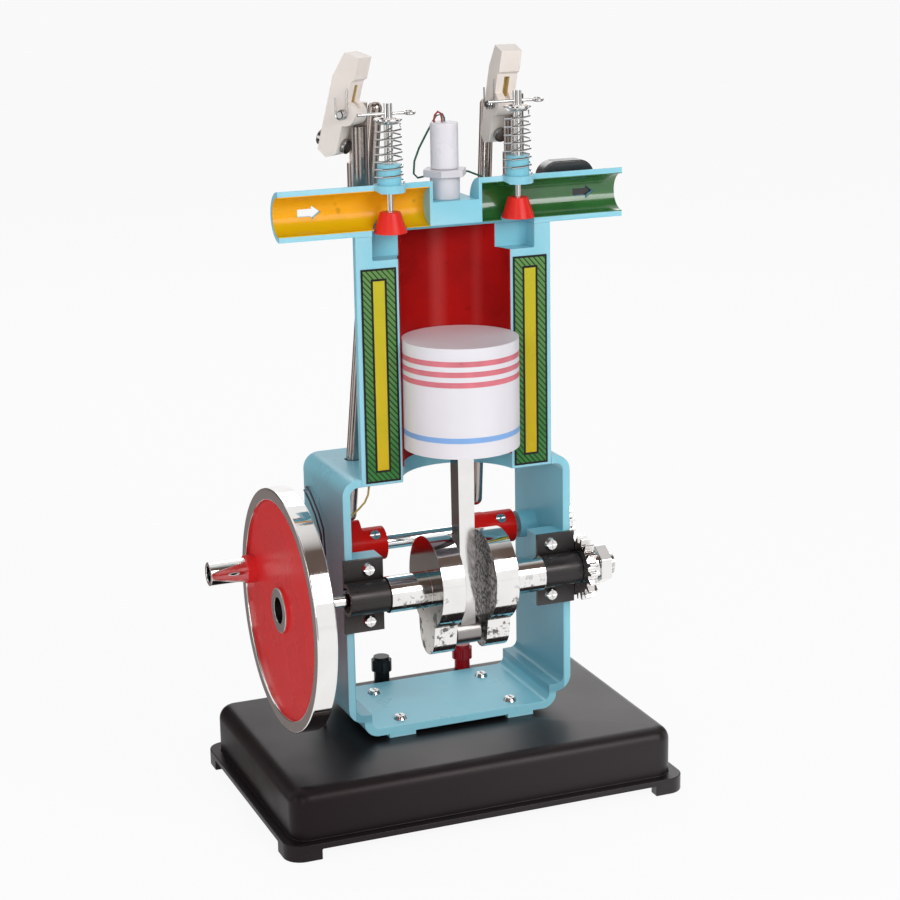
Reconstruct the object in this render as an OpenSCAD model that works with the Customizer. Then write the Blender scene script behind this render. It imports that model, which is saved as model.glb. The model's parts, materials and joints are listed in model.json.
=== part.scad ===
// Four-stroke engine model for the classroom, cut open at the front.
// X runs along the crankshaft, Y to the back, Z up from the table.
// Lengths are in millimetres. The crankshaft's axis crosses the cylinder's at X 0, Y 0.

/* [Plinth] */
// Length of the plinth
plinth_l = 210; // [200:1:240]
// Depth of the plinth
plinth_w = 140; // [130:1:180]
// Height of the plinth's top over the table
plinth_h = 33; // [25:1:45]
// How far the plinth's middle lies left of the cylinder's axis
plinth_left = 4.5; // [0:0.5:8]
// How far the plinth's middle lies behind the cylinder's axis
plinth_back = 24; // [20:0.5:30]
// Radius of the plinth's upright corners
plinth_corner_r = 9; // [8:0.5:14]
// Radius of the plinth's top edge
plinth_edge_r = 7; // [3:0.5:7.5]
// Thickness of the flange round the bottom
flange_t = 3.1; // [2:0.1:5]
// How far the flange stands out of the plinth's sides
flange_out = 4.6; // [2:0.1:6]
// Height of the corner feet
foot_h = 5.2; // [3:0.1:8]
// Reach of a foot along each side
foot_reach = 17; // [12:0.5:24]
// Width of a foot's two legs
foot_w = 6; // [4:0.5:9]

/* [Crankcase] */
// Width of the crankcase frame
frame_w = 120; // [116:1:126]
// Depth of the crankcase frame
frame_d = 60; // [56:1:66]
// Height of the crankcase frame
frame_h = 133; // [130:1:140]
// Wall of the crankcase frame
wall = 4; // [3:0.1:5]
// Height of the pads under the frame
pad_h = 2; // [1:0.1:4]
// Length of a pad along X
pad_l = 14; // [8:0.5:20]
// Distance of a pad's middle from the cylinder's axis
pad_x = 32; // [24:0.5:38]
// Distance of the open front from the crankshaft's axis
cut_y = 5; // [4.8:0.1:5.2]
// Outer radius of the frame's corners
frame_r = 8; // [6:0.1:9]
// How far the foot of the frame steps in at each side
step_in = 8; // [6:0.1:9]
// Height of the step over the frame's bottom
step_h = 8.3; // [8:0.1:10]
// Depth of the bearing blocks behind the straps
bearing_d = 11; // [8:0.5:16]
// Radius of the camshaft's boss
cam_boss_r = 7; // [6:0.1:8]
// Length of the camshaft's boss
cam_boss_l = 9; // [6:0.5:12]

/* [Crankshaft] */
// Height of the crankshaft's axis over the frame's bottom
crank_up = 75; // [73:0.5:77]
// Stroke of the piston
stroke = 48; // [44:0.5:50]
// Distance from the middle to a web's inner face
web_in = 8; // [7.6:0.1:9]
// Thickness of a web
web_t = 12; // [10:0.1:12.5]
// Radius of a web's upper disc
web_r = 23; // [20:0.5:24]
// How far the disc's centre lies over the axis
web_disc_up = 3.5; // [0:0.1:5]
// Radius of a web at its waist
web_waist_r = 14; // [12:0.5:18]
// Radius of a web's lower end
web_end_r = 9.5; // [8:0.1:11]
// Radius of the thick journals
journal_r = 9; // [7:0.1:10]
// Radius of the shaft in its bearings
bearing_r = 6; // [5.8:0.05:6.2]
// How far a strap stands out of the frame's side
strap_over = 1.3; // [1:0.1:2]
// Width of a strap along the shaft
strap_w = 20.3; // [18:0.1:20.5]
// Half height of a strap
strap_half_h = 18.5; // [17:0.1:20]
// Thickness of a strap
strap_t = 2; // [1.6:0.1:2.4]
// Distance of a strap's screws from the shaft's axis
strap_screw_up = 13.2; // [12.5:0.1:15]
// Radius of the thin shaft to the flywheel
thin_shaft_r = 3.2; // [2.5:0.1:4]
// Radius of the shaft's right end
end_shaft_r = 5.5; // [5:0.1:5.8]
// How far the right end stands out of the nut
shaft_tip = 3.2; // [1:0.1:6]

/* [Flywheel] */
// Outer radius of the flywheel
wheel_r = 59; // [54:0.5:62]
// Width of the flywheel's rim
wheel_w = 10; // [8:0.5:14]
// Distance from the left strap to the flywheel's inner face
wheel_gap = 24.6; // [20:0.1:30]
// Radial thickness of the rim
rim_t = 5.8; // [4:0.1:9]
// Thickness of the red disc
disc_t = 6; // [4:0.1:7]
// Radius of the hub
hub_r = 11; // [9:0.5:14]
// Radius of the socket in the hub
hub_socket_r = 6.4; // [4:0.1:7]
// Depth of the socket in the hub
hub_socket_d = 6; // [3:0.1:8]
// Distance of the handle from the shaft's axis
handle_throw = 44.7; // [38:0.1:45]
// Angle of the handle over the horizontal
handle_turn = 10.3; // [0:0.1:90]
// Radius of the handle
handle_r = 6; // [4:0.1:6.5]
// Length of the handle
handle_l = 23.6; // [18:0.1:32]
// Radius of the hole in the handle's end
handle_bore_r = 4; // [2:0.1:4.5]
// Depth of the hole in the handle's end
handle_bore_d = 10; // [4:0.5:16]
// Radius of the red boss at the handle's root
boss_r = 7; // [6.6:0.1:7.2]
// Length of the red boss at the handle's root
boss_l = 5; // [3:0.1:8]

/* [Gears] */
// Tooth module
gear_m = 1.5; // [1.48:0.01:1.52]
// Teeth of the crank gear, half those of the cam gear
gear_teeth = 20; // [20]
// Width of the gears
gear_w = 5; // [4:0.1:6]
// Length of the crank gear's collar
collar_l = 4.5; // [2:0.1:6]
// Radius of the crank gear's collar
collar_r = 7.5; // [7:0.1:9]
// Width of the nut across its corners
nut_d = 20; // [17:0.1:22]
// Length of the nut
nut_l = 6; // [4:0.1:8]

/* [Camshaft] */
// Height of the camshaft's axis over the crankshaft's
cam_up = 12.6; // [10:0.1:14]
// Radius of the camshaft
camshaft_r = 4; // [3.6:0.05:4.4]
// Radius of a cam's hub
cam_r = 8.8; // [8:0.1:9.2]
// Radius of a cam's tip over the axis
cam_tip = 13; // [12:0.1:13.4]
// Radius of the rounding at a cam's tip
cam_nose_r = 3.5; // [2.5:0.1:5]
// Width of the intake cam's lobe
intake_lobe_w = 7.6; // [6:0.1:9]
// Distance from the frame's left wall to the intake cam
intake_cam_gap = 10; // [9:0.1:12]
// Width of the exhaust cam's lobe
exhaust_lobe_w = 7; // [6:0.1:8]
// Distance from the exhaust cam to the camshaft's boss
exhaust_cam_gap = 3; // [2:0.1:3.4]
// Length of the intake cam's hub
intake_hub_l = 12; // [7:0.1:12]
// Length of the exhaust cam's hub
exhaust_hub_l = 16; // [10:0.1:17]
// Radius of the cams' set screws
set_screw_r = 2.6; // [2:0.1:3]
// How far a set screw stands out
set_screw_out = 0.5; // [0.2:0.1:1]

/* [Rod and piston] */
// Length of the connecting rod between its axes
rod_l = 109; // [108:0.5:111]
// Width of the rod's shank at the top
rod_w = 8.5; // [7:0.1:10]
// Width of the rod's shank at the bottom
rod_low_w = 7.5; // [6:0.1:9]
// Depth of the rod's shank
rod_d = 10; // [8:0.1:11]
// Radius of the rod's lower end
big_end_r = 6.7; // [6:0.1:8]
// Width of the rod's ends
rod_end_w = 12.4; // [11:0.1:13]
// Radius of the rod's upper end
small_end_r = 6; // [5.2:0.1:7]
// Radius of the two pins
pin_r = 3; // [2.5:0.1:3.5]
// Length of the crank pin
crank_pin_l = 15.2; // [14:0.1:15.2]
// Radius of the piston
piston_r = 28.2; // [28:0.05:28.2]
// Height of the piston
piston_h = 53.2; // [50:0.1:53.5]
// Thickness of the piston's skin over the ends of the wrist pin
pin_skin = 0.8; // [0.6:0.1:1]
// Height of the wrist pin over the piston's lower edge
wrist_up = 14; // [11:0.1:18]
// Wall of the piston
piston_wall = 3.5; // [2.5:0.1:5]
// Thickness of the piston's crown
crown_t = 6; // [4:0.1:7]
// Width of a piston ring
ring_w = 2.6; // [1.5:0.1:3]
// Distance between the piston rings
ring_pitch = 5; // [4:0.1:6]
// Depth of the top ring under the crown
ring_top = 6.1; // [5:0.1:8]
// Height of the blue ring over the piston's lower edge
oil_ring_up = 7.6; // [5:0.1:9]
// Thickness of the rings
ring_t = 1; // [0.6:0.1:1.5]
// How far the rings stand out of the piston
ring_out = 0.05; // [0.02:0.01:0.1]

/* [Cylinder] */
// Radius of the cylinder's bore inside its lining
bore_r = 28.5; // [28.4:0.05:28.8]
// Thickness of the red lining
lining_t = 0.6; // [0.4:0.05:0.8]
// Wall of the cylinder outside the lining
barrel_wall = 3.9; // [3:0.1:4.5]
// Half width of the cylinder's front plate
plate_half_w = 50; // [49:0.1:51]
// Thickness of the cylinder's front plate
plate_t = 4; // [3:0.1:5]
// Height of the cylinder over the frame's top
cylinder_h = 117; // [116:0.5:120]
// Depth of the thick part at the cylinder's top
chest_d = 14; // [12:0.5:18]
// Height of the thick part at the cylinder's top
chest_h = 17; // [14:0.5:22]
// Thickness of the thick part's sides beside the pockets
chest_wall = 3.2; // [2:0.1:5]
// How far the lining starts over the frame's top
lining_up = 4; // [2:0.1:8]
// Depth of the side pockets from the open front
pocket_d = 10; // [9.5:0.1:11]
// Height of the side pockets' floor below the cylinder's top
pocket_drop = 11.5; // [9:0.1:13]
// Distance from the middle to a pocket's outer side
pocket_x = 41.4; // [41:0.1:43]
// Thickness of the jacket labels
label_t = 0.3; // [0.2:0.05:0.6]
// Distance from the middle to a label's inner side
label_in = 30; // [29.5:0.1:31]
// Width of a label
label_w = 17.8; // [15:0.1:18]
// Height of a label
label_h = 104.2; // [90:0.1:104.5]

/* [Head] */
// Inner radius of the two pipes
port_r = 9.35; // [9:0.05:9.6]
// Wall of the two pipes
port_wall = 2.5; // [2:0.1:3]
// Height of the pipes' axis over the cylinder
port_up = 12.1; // [12:0.1:13]
// Outer end of the intake pipe, from the middle
intake_end = 87; // [82:0.5:95]
// Inner end of the intake pipe, from the middle
intake_in = 10.5; // [10:0.1:11.5]
// Outer end of the exhaust pipe, from the middle
exhaust_end = 88.3; // [82:0.1:95]
// Inner end of the exhaust pipe, from the middle
exhaust_in = 12.9; // [11.5:0.1:14]
// Thickness of the pipes' closed ends
port_end_t = 1.6; // [1.2:0.1:2.5]
// Thickness of the linings in the pipes
port_lining_t = 0.4; // [0.3:0.05:0.6]
// Thickness of the deck behind the pipes
deck_t = 6; // [4:0.1:8]
// Depth of the deck from the open front
deck_d = 33.5; // [32:0.1:33.8]
// Height of the plug's seat over the cylinder
seat_h = 13.8; // [12:0.1:15]
// Depth of the plug's seat from the open front
seat_d = 23; // [20:0.5:26]
// Radius of the collars round the valves
guide_collar_r = 7.5; // [7.5:0.1:8.6]
// Thickness of the collars round the valves
guide_collar_t = 3.7; // [3:0.1:4.5]
// Radius of the valve guides
guide_r = 5.6; // [5.3:0.05:5.65]
// Height of the valve guides over their collars
guide_h = 9.5; // [6:0.1:12]
// Radius of the valve holes
valve_hole_r = 8.3; // [8.3:0.05:8.6]
// Length of an arrow
arrow_l = 11.5; // [8:0.1:14]
// Width of an arrow's head
arrow_w = 6.8; // [5:0.1:8]
// Distance of the intake arrow's tail from the middle
intake_arrow_x = 74.9; // [70:0.1:78]
// Distance of the exhaust arrow's tail from the middle
exhaust_arrow_x = 65.9; // [60:0.1:72]
// Thickness of the cover behind the exhaust arrow
cover_t = 9; // [5:0.1:12]
// Height of the cover behind the exhaust arrow
cover_h = 25; // [20:0.1:27]
// Length of the cover behind the exhaust arrow
cover_l = 28; // [24:0.1:30]
// Radius of the cover's corners
cover_r = 8; // [4:0.1:9]

/* [Valves] */
// Distance of the intake valve from the middle
intake_x = 32.2; // [31.8:0.1:32.6]
// Distance of the exhaust valve from the middle
exhaust_x = 33; // [32.6:0.1:33.4]
// How much higher the exhaust valve sits
exhaust_lift = 2.5; // [0:0.1:3]
// Radius of a valve stem
stem_r = 2.1; // [1.8:0.05:2.4]
// Radius of a stem inside the pipe
stem_low_r = 1.6; // [1.2:0.05:1.8]
// Height of a stem over the pipe's axis
stem_up = 49.5; // [47:0.1:50]
// Height of the cones' lower face below the pipe's axis
cone_down = 11; // [10:0.1:11.5]
// Height of a cone
cone_h = 10; // [8:0.1:11]
// Radius of a cone at the bottom
cone_r = 8; // [7:0.1:8]
// Radius of a cone at the top
cone_top_r = 4.8; // [4:0.1:6]
// Radius of the spring plates
retainer_r = 6.7; // [6.5:0.1:7.5]
// Thickness of the spring plates
retainer_t = 2.5; // [2:0.1:3]
// Height of the spring plates over the pipe's axis
retainer_up = 39.9; // [38:0.1:41]
// Radius of a cotter's wire
cotter_r = 0.75; // [0.6:0.05:1]
// Height of a cotter over its spring plate
cotter_gap = 2.2; // [1.2:0.1:3]
// Length of a cotter to the left of the stem
cotter_left = 15; // [10:0.1:19]
// Length of a cotter to the right of the stem
cotter_right = 9; // [6:0.1:10]
// Radius of the eye at a cotter's end
cotter_eye_r = 2.3; // [2:0.1:3]

/* [Springs] */
// Radius of the valve springs' wire
wire_r = 0.45; // [0.35:0.05:0.5]
// Radius of a spring at the top, to the wire's middle
spring_top_r = 6.4; // [6.2:0.05:6.6]
// Radius of a spring at the bottom, to the wire's middle
spring_low_r = 7; // [6.95:0.05:7.6]
// Curls of a valve spring
spring_turns = 7; // [6:1:9]
// Radius of the torsion springs' wire
torsion_wire_r = 0.4; // [0.3:0.05:0.45]
// Curls of a torsion spring
torsion_turns = 2; // [1:1:2]
// Pitch of the torsion springs
torsion_pitch = 1.3; // [1.25:0.05:1.4]
// Length of the torsion springs' upper leg
torsion_leg = 12; // [8:0.5:14]

/* [Plug and its leads] */
// Distance of the plug from the cylinder's axis to the back
plug_back = 16; // [15.5:0.1:17]
// Radius of the plug's foot
plug_r = 7.15; // [6:0.1:8]
// Height of the plug's foot
plug_h = 10.7; // [8:0.1:13]
// Width of the hexagon across its corners
hex_d = 22; // [18:0.1:22.5]
// Height of the hexagon
hex_h = 3.5; // [2:0.1:6]
// Radius of the lamp's cap
cap_r = 6.7; // [5.5:0.1:7.5]
// Height of the lamp's cap
cap_h = 22; // [16:0.1:26]
// Radius of the thin leads
lead_r = 0.5; // [0.4:0.05:0.7]

/* [Rockers] */
// Radius of a rocker post
post_r = 5.2; // [4.5:0.1:5.5]
// Distance of the posts from the cylinder's axis to the back
post_back = 24.7; // [24:0.1:25.5]
// Distance of the left post from the middle
post_left_x = 40.6; // [40:0.1:42]
// Distance of the right post from the middle
post_right_x = 39.4; // [38:0.1:40]
// Turn of the left rocker about its post
rocker_left_yaw = 36; // [34:0.1:38]
// Turn of the right rocker about its post
rocker_right_yaw = 0.5; // [0:0.1:3]
// Height of the rockers' pins over the deck
rocker_up = 50; // [48:0.1:52]
// Width of a rocker
rocker_w = 10.6; // [10:0.1:11.8]
// How far a rocker's middle lies beside its post's axis
rocker_side = 4.8; // [4.6:0.1:5.4]
// Thickness of a rocker
rocker_t = 10.6; // [8:0.1:10.8]
// Length of a rocker's nose from its pin
rocker_nose = 27.5; // [26:0.1:29]
// Length of a rocker's tail from its pin
rocker_tail = 22.9; // [20:0.1:23]
// Radius of a rocker's hub
rocker_hub_r = 5.7; // [4.5:0.1:5.8]
// Raised angle of the left rocker
rocker_left_lift = 74; // [70:0.5:78]
// Raised angle of the right rocker
rocker_right_lift = 71; // [68:0.5:74]
// Width of the slot in a rocker's underside
slot_w = 2.6; // [1.5:0.1:4]
// Depth of the slot in a rocker's underside
slot_d = 3.5; // [2:0.1:5]
// Radius of the rocker pins
rocker_pin_r = 1.5; // [1.2:0.05:1.8]
// Length of a rocker pin beside the rocker
rocker_pin_out = 4; // [3.5:0.1:5]
// Distance of the adjusting screw from the pin
adjuster_back = 16; // [14:0.1:17]
// Radius of the adjusting screw
adjuster_r = 2; // [1.5:0.1:2.4]
// Radius of the adjusting screw's head
adjuster_head_r = 4; // [3:0.1:4.5]
// Height of the adjusting screw's head
adjuster_head_h = 3; // [2:0.1:4]
// Radius of the adjusting screw's nut
adjuster_nut_r = 3.5; // [3:0.1:4]
// Height of the adjusting screw's nut
adjuster_nut_h = 2.4; // [1.5:0.1:2.6]
// Radius of the pushrods
pushrod_r = 3.5; // [3:0.1:3.7]
// Gap between a pushrod and its cam's tip
pushrod_gap = 0.4; // [0.3:0.05:0.8]

/* [Terminals and screws] */
// Distance of the terminals from the cylinder's axis to the back
terminal_back = 76; // [74:0.5:78]
// Place of the black terminal along X, left of the middle
terminal_black_x = 17; // [10:0.5:24]
// Place of the red terminal along X, right of the middle
terminal_red_x = 29; // [20:0.5:36]
// Radius of a terminal's foot
terminal_foot_r = 4.35; // [3.8:0.05:5]
// Height of a terminal's foot
terminal_foot_h = 2.5; // [1.5:0.1:4]
// Radius of the terminal knobs' skirts
skirt_r = 4.1; // [3.5:0.05:4.5]
// Height of the terminal knobs' skirts
skirt_h = 5.6; // [4:0.1:8]
// Radius of the terminal knobs' grips
knob_r = 5.4; // [4.8:0.1:6.5]
// Height of the terminal knobs' grips
knob_h = 6; // [4:0.1:8]
// Radius of the terminal knobs' tops
knob_top_r = 4.2; // [3:0.1:4.5]
// Height of the terminal knobs' tops
knob_top_h = 1.8; // [1:0.1:3]
// Radius of the grooves in the grips
groove_r = 0.8; // [0.5:0.1:1]
// Grooves round a grip
grooves = 8; // [6:1:10]
// Radius of the terminal studs
stud_r = 2; // [1.5:0.1:2.5]
// Height of a stud inside its knob
stud_h = 5; // [3:0.1:5.5]
// Radius of the screw heads
screw_r = 3.5; // [2.5:0.1:4]
// Height of the screw heads
screw_h = 1.8; // [1.2:0.1:2.2]
// Width of the slots in the screw heads
screw_slot_w = 0.8; // [0.5:0.1:1]
// Depth of the slots in the screw heads
screw_slot_d = 0.7; // [0.4:0.1:1]
// Distance of the floor screws from the middle
floor_screw_x = 30; // [20:0.5:36]
// Distance of the front floor screws from the open front
floor_screw_front = 9; // [6:0.5:14]
// Distance of the back floor screws from the open front
floor_screw_back = 47; // [40:0.5:52]

/* [Fits] */
// Radial clearance of shafts in their bearings
run_gap = 0.05; // [0.03:0.01:0.08]
// Gap between pieces that move past each other
move_gap = 0.3; // [0.3:0.05:0.4]

/* [Hidden] */
$fn = 64;
blend_fn = 32;
ring_sides = 6;
ring_steps = 8;
lead_sides = 8;
hex_sides = 6;
over = 1;

frame_z = plinth_h + pad_h;
frame_top = frame_z + frame_h;
frame_half = frame_w / 2;
frame_back = cut_y + frame_d;
crank_z = frame_z + crank_up;
throw = stroke / 2;
pin_z = crank_z - throw;
wrist_z = pin_z + rod_l;
piston_z = wrist_z - wrist_up;
piston_top = piston_z + piston_h;
web_out = web_in + web_t;
strap_out = frame_half + strap_over;
strap_in = strap_out - strap_w;
wheel_in = strap_out + wheel_gap;
intake_lobe_x = frame_half - wall - intake_cam_gap;
exhaust_lobe_x = frame_half - wall - cam_boss_l - exhaust_cam_gap - exhaust_hub_l - exhaust_lobe_w;
bearing_hole_r = bearing_r + run_gap;
strap_r = bearing_hole_r + strap_t;
wheel_out = wheel_in + wheel_w;
disc_x = wheel_in + (wheel_w - disc_t) / 2;
disc_out = disc_x + disc_t;
handle_out = disc_out + handle_l;
rim_in_r = wheel_r - rim_t;
gear_gap = 0.2;
bearing_inset = 2;
gear_x = strap_out + gear_gap;
gear_out = gear_x + gear_w;
collar_out = gear_out + collar_l;
nut_out = collar_out + nut_l;
shaft_end = nut_out + shaft_tip;
cam_teeth = 2 * gear_teeth;
gear_dist = gear_m * (gear_teeth + cam_teeth) / 2;
cam_y = sqrt(gear_dist * gear_dist - cam_up * cam_up);
cam_z = crank_z + cam_up;
mesh_turn = atan2(cam_up, cam_y);
barrel_in_r = bore_r + lining_t;
barrel_r = barrel_in_r + barrel_wall;
block_z = frame_top - wall;
block_top = frame_top + cylinder_h;
port_z = block_top + port_up;
tube_r = port_r + port_wall;
deck_top = block_top + deck_t;
deck_back = cut_y + deck_d;
collar_top = port_z + tube_r;
guide_top = collar_top + guide_h;
stem_top = port_z + stem_up;
stem_hole_r = stem_r + run_gap;
stem_step = collar_top - guide_collar_t;
retainer_z = port_z + retainer_up;
cotter_z = retainer_z + retainer_t + cotter_gap;
spring_gap = 0.05;
seat_top = block_top + seat_h;
hex_z = seat_top + plug_h;
cap_z = hex_z + hex_h;
cap_top = cap_z + cap_h;
rocker_z = deck_top + rocker_up;
rod_bottom = cam_z + cam_tip + pushrod_gap;
shift_x = (handle_out - (plinth_l / 2 - plinth_left)) / 2;
shift_y = (wheel_r - (plinth_back + plinth_w / 2)) / 2;

// Small sizes with no range of their own, and what follows from them
screw_dome_share = 0.7;
rod_hole_gap = 0.8;
strap_screw_in = 2.6;
cover_left_share = 0.9;
cover_low_share = 0.386;
label_low = 1.5;
post_step_gap = 0.8;
post_over_pin = 3;
post_keep_share = 0.1;
torsion_turn = 180;
tail_top_share = 0.9;
retainer_lip = 0.8;
set_screw_turn = 45;
cotter_tilt = 8;
intake_cam_turn = -12;
cam_hub_step = 0.3;
exhaust_cam_turn = 110;
body_z = foot_h + flange_t;
body_h = plinth_h - body_z;
body_half_l = plinth_l / 2 - flange_out;
body_half_w = plinth_w / 2 - flange_out;
step_r = frame_r - 0.04 * frame_r;
cover_y = cut_y + tube_r - 0.35 * lining_t;
cover_x0 = exhaust_arrow_x - (cover_l - arrow_l) * cover_left_share;
cover_z = port_z - cover_h * cover_low_share;
rocker_left_x = -post_left_x;
half_gap = (rocker_w / 2 - rocker_side);
post_cut_x = half_gap + 0.2 * lining_t + run_gap;
post_step_z = rocker_z - rocker_hub_r - post_step_gap;
post_back_z = post_step_z - 3 * rocker_hub_r;
post_top = rocker_z + rocker_pin_r + post_over_pin;
rocker_out = rocker_side + rocker_w / 2;
handle_y = handle_throw * cos(handle_turn);
handle_z = crank_z + handle_throw * sin(handle_turn);
ring_low = piston_top - ring_top - ring_w;
ring_in_r = piston_r - ring_t;
wrist_half = sqrt(piston_r * piston_r - pin_r * pin_r) - pin_skin;

// Where the pushrods' axes start and end: lower places follow the camshaft
rod_foot_share = 0.33;
intake_rod_low = [-intake_lobe_x + intake_lobe_w * rod_foot_share, cam_y,
    rod_bottom + pushrod_r];
intake_rod_high = [-24, 45, 340];
exhaust_rod_low = [exhaust_lobe_x + exhaust_lobe_w / 2, cam_y, rod_bottom + pushrod_r];
exhaust_rod_high = [37.3, 52, 338];

// Shares of a tooth's pitch angle from its middle to its flank, at root and tip
tooth_root_share = 0.3;
tooth_tip_share = 0.11;
addendum_share = 1;
dedendum_share = 1.25;

// A rocker's outline as shares of its nose, tail and thickness
nose_crease_share = 0.553;
nose_top_share = 0.65;
nose_drop_share = 0.15;
pad_share = 0.62;
pad_foot_share = 0.56;
tail_foot_share = 0.92;
tail_low_share = 0.17;
tail_mid_share = 0.5;
slot_start_share = 0.13;
slot_end_share = 0.5;

// An arrow's outline as shares of its length and width
arrow_neck_share = 0.58;
arrow_shaft_share = 0.54;

// A route whose X starts from the outer face of the frame's left side
function from_side(route) = [for (q = route) [q[0] - frame_half, q[1], q[2]]];
// Lead routes in round numbers
red_route = [[-5, 16, 335], [-5, 16, 336.5], [-4.5, 16, 338.5], [-3, 16, 340],
    [-1.5, 16, 339], [-1, 16, 336.5], [-1, 16, 335]];
green_route = [[1, 18, 335], [1, 18, 336.5], [0.5, 19, 338.4], [-2, 21, 337.5],
    [-5.4, 25, 329], [-9, 26, 322], [-11.5, 26, 316], [-12, 26, 310], [-9, 28.5, 307.5],
    [0, 30, 308.5], [9, 29, 309.5], [17, 28, 309], [24, 28, 306], [26.5, 29, 300],
    [27, 30, 294], [27, 30, 291]];
wall_route_red = from_side([[0, 57, 152], [-1.5, 57, 152], [-2, 54, 153.5], [-2, 49, 152],
    [-2, 44, 149], [-2, 36, 144], [-2, 30, 138], [-2, 28, 126], [-2.5, 29, 105],
    [-3, 31, 80], [-3, 33, 55], [-3, 34, 38], [-3, 34, 33]]);
wall_route_blue = from_side([[0, 60, 150], [-1.5, 60, 150], [-2, 56, 149.5], [-2, 50, 147],
    [-2, 42, 142], [-2, 34, 134], [-2, 32, 124], [-2.5, 33, 104],
    [-3, 35, 80], [-3, 37, 55], [-3, 38, 38], [-3, 38, 33]]);
tan_route = from_side([[16, 12, 164], [16, 12, 162], [15.5, 12, 158], [14, 13, 154],
    [11, 14, 150.5], [8, 14.5, 148], [6, 15, 147], [4, 15, 147]]);

// Distance between two points
function gap(a, b) = norm(a - b);
function unit(v) = v / norm(v);
function heading(p, i) = unit(p[min(i + 1, len(p) - 1)] - p[max(i - 1, 0)]);

// One tube along points p with a side vector for each point
module tube(p, sides_at, r, n) {
    last = len(p) - 1;
    pts = [for (i = [0:last]) for (k = [0:n - 1])
        let (t = heading(p, i), s = unit(sides_at[i] - (sides_at[i] * t) * t), b = cross(t, s))
        p[i] + r * (cos(360 * k / n) * s + sin(360 * k / n) * b)];
    walls = [for (i = [0:last - 1]) for (k = [0:n - 1]) let (j = (k + 1) % n)
        each [[i * n + k, (i + 1) * n + k, (i + 1) * n + j], [i * n + k, (i + 1) * n + j, i * n + j]]];
    ends = [for (k = [1:n - 2]) each [[0, k, k + 1],
        [last * n, last * n + k + 1, last * n + k]]];
    polyhedron(pts, concat(walls, ends), convexity = 10);
}

// A free lead: the side vector is square to the run between its ends
module lead(p, r = lead_r) {
    tube(p, [for (q = p) lead_side(p)], r, lead_sides);
}
function lead_side(p) = unit(cross(p[len(p) - 1] - p[0], [0, 1, 1]) + [0, 0.1, 0]);

// Centre line of a valve spring from z0 to z1: straight ends, a bend, then even curls
spring_bend = 2 * wire_r;
function coil_r(u) = spring_low_r + (spring_top_r - spring_low_r) * u;
function coil_at(u, z0, z1) = let (a = 360 * spring_turns * u)
    [coil_r(u) * cos(a), coil_r(u) * sin(a),
    z0 + 2 * spring_bend + (z1 - z0 - 4 * spring_bend) * u];
coil_steps = spring_turns * ring_steps;
bend_share = 0.3;
function coil_path(z0, z1) = let (a = coil_at(0, z0, z1), b = coil_at(1, z0, z1),
    back = spring_bend) concat(
    [[a[0], a[1] - back, z0], [a[0], a[1] - back, z0 + back],
    [a[0], a[1] - back * (1 - bend_share), z0 + back * (2 - bend_share)]],
    [for (i = [0:coil_steps]) coil_at(i / coil_steps, z0, z1)],
    [[b[0], b[1] + back * (1 - bend_share), z1 - back * (2 - bend_share)],
    [b[0], b[1] + back, z1 - back], [b[0], b[1] + back, z1]]);
function coil_sides(p) = [for (q = p) unit([q[0], q[1], 0])];

// Least gap of a path to itself between points that lie a third of a curl apart or more
apart = 5;
function least_gap(p, r) = min([for (i = [0:len(p) - 1 - apart])
    for (j = [i + apart:len(p) - 1]) gap(p[i], p[j])]) - 2 * r;
intake_coil = coil_path(collar_top, retainer_z - spring_gap);
exhaust_coil = coil_path(collar_top, retainer_z + exhaust_lift - spring_gap);

// Centre line of a torsion spring round X: one leg up, curls, one leg down
torsion_r = (rocker_pin_r + torsion_wire_r + spring_gap) / cos(180 / ring_steps);
torsion_steps = torsion_turns * ring_steps;
function torsion_at(i) = let (a = 360 * i / ring_steps)
    [-torsion_pitch * i / ring_steps, torsion_r * cos(a), torsion_r * sin(a)];
torsion_end = torsion_at(torsion_steps + ring_steps / 2);
torsion_path = concat([[0, torsion_r, -torsion_leg], [0, torsion_r, -torsion_leg / 2]],
    [for (i = [0:torsion_steps + ring_steps / 2]) torsion_at(i)],
    [torsion_end + [0, 0, -torsion_leg / 3], torsion_end + [0, 0, -torsion_leg * 2 / 3]]);
echo(intake_spring_gap = least_gap(intake_coil, wire_r));
echo(exhaust_spring_gap = least_gap(exhaust_coil, wire_r));
echo(torsion_spring_gap = least_gap(torsion_path, torsion_wire_r));

// Moves the model so that its base's middle is the origin
module placed() {
    translate([shift_x, shift_y, 0]) children();
}

// Extrudes an outline drawn in Y and Z from x0 to x1
module slab_x(x0, x1) {
    translate([x0, 0, 0]) rotate([90, 0, 90]) linear_extrude(x1 - x0) children();
}

// Extrudes an outline drawn in X and Z from y0 to y1
module slab_y(y0, y1) {
    translate([0, y1, 0]) rotate([90, 0, 0]) linear_extrude(y1 - y0) children();
}

// A box between two corners
module block(a, b) {
    translate(a) cube(b - a);
}

// A cylinder along X from x0 to x1 at y, z
module bar_x(x0, x1, y, z, r) {
    translate([x0, y, z]) rotate([0, 90, 0]) cylinder(h = x1 - x0, r = r);
}

// An upright cylinder from z0 to z1 at x, y
module bar_z(x, y, z0, z1, r) {
    translate([x, y, z0]) cylinder(h = z1 - z0, r = r);
}

// A flat rectangle between two corners with round corners
module rounded(x0, y0, x1, y1, r) {
    translate([x0 + r, y0]) square([x1 - x0 - 2 * r, y1 - y0]);
    translate([x0, y0 + r]) square([x1 - x0, y1 - y0 - 2 * r]);
    for (x = [x0 + r, x1 - r]) for (y = [y0 + r, y1 - r]) translate([x, y]) circle(r);
}

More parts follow.
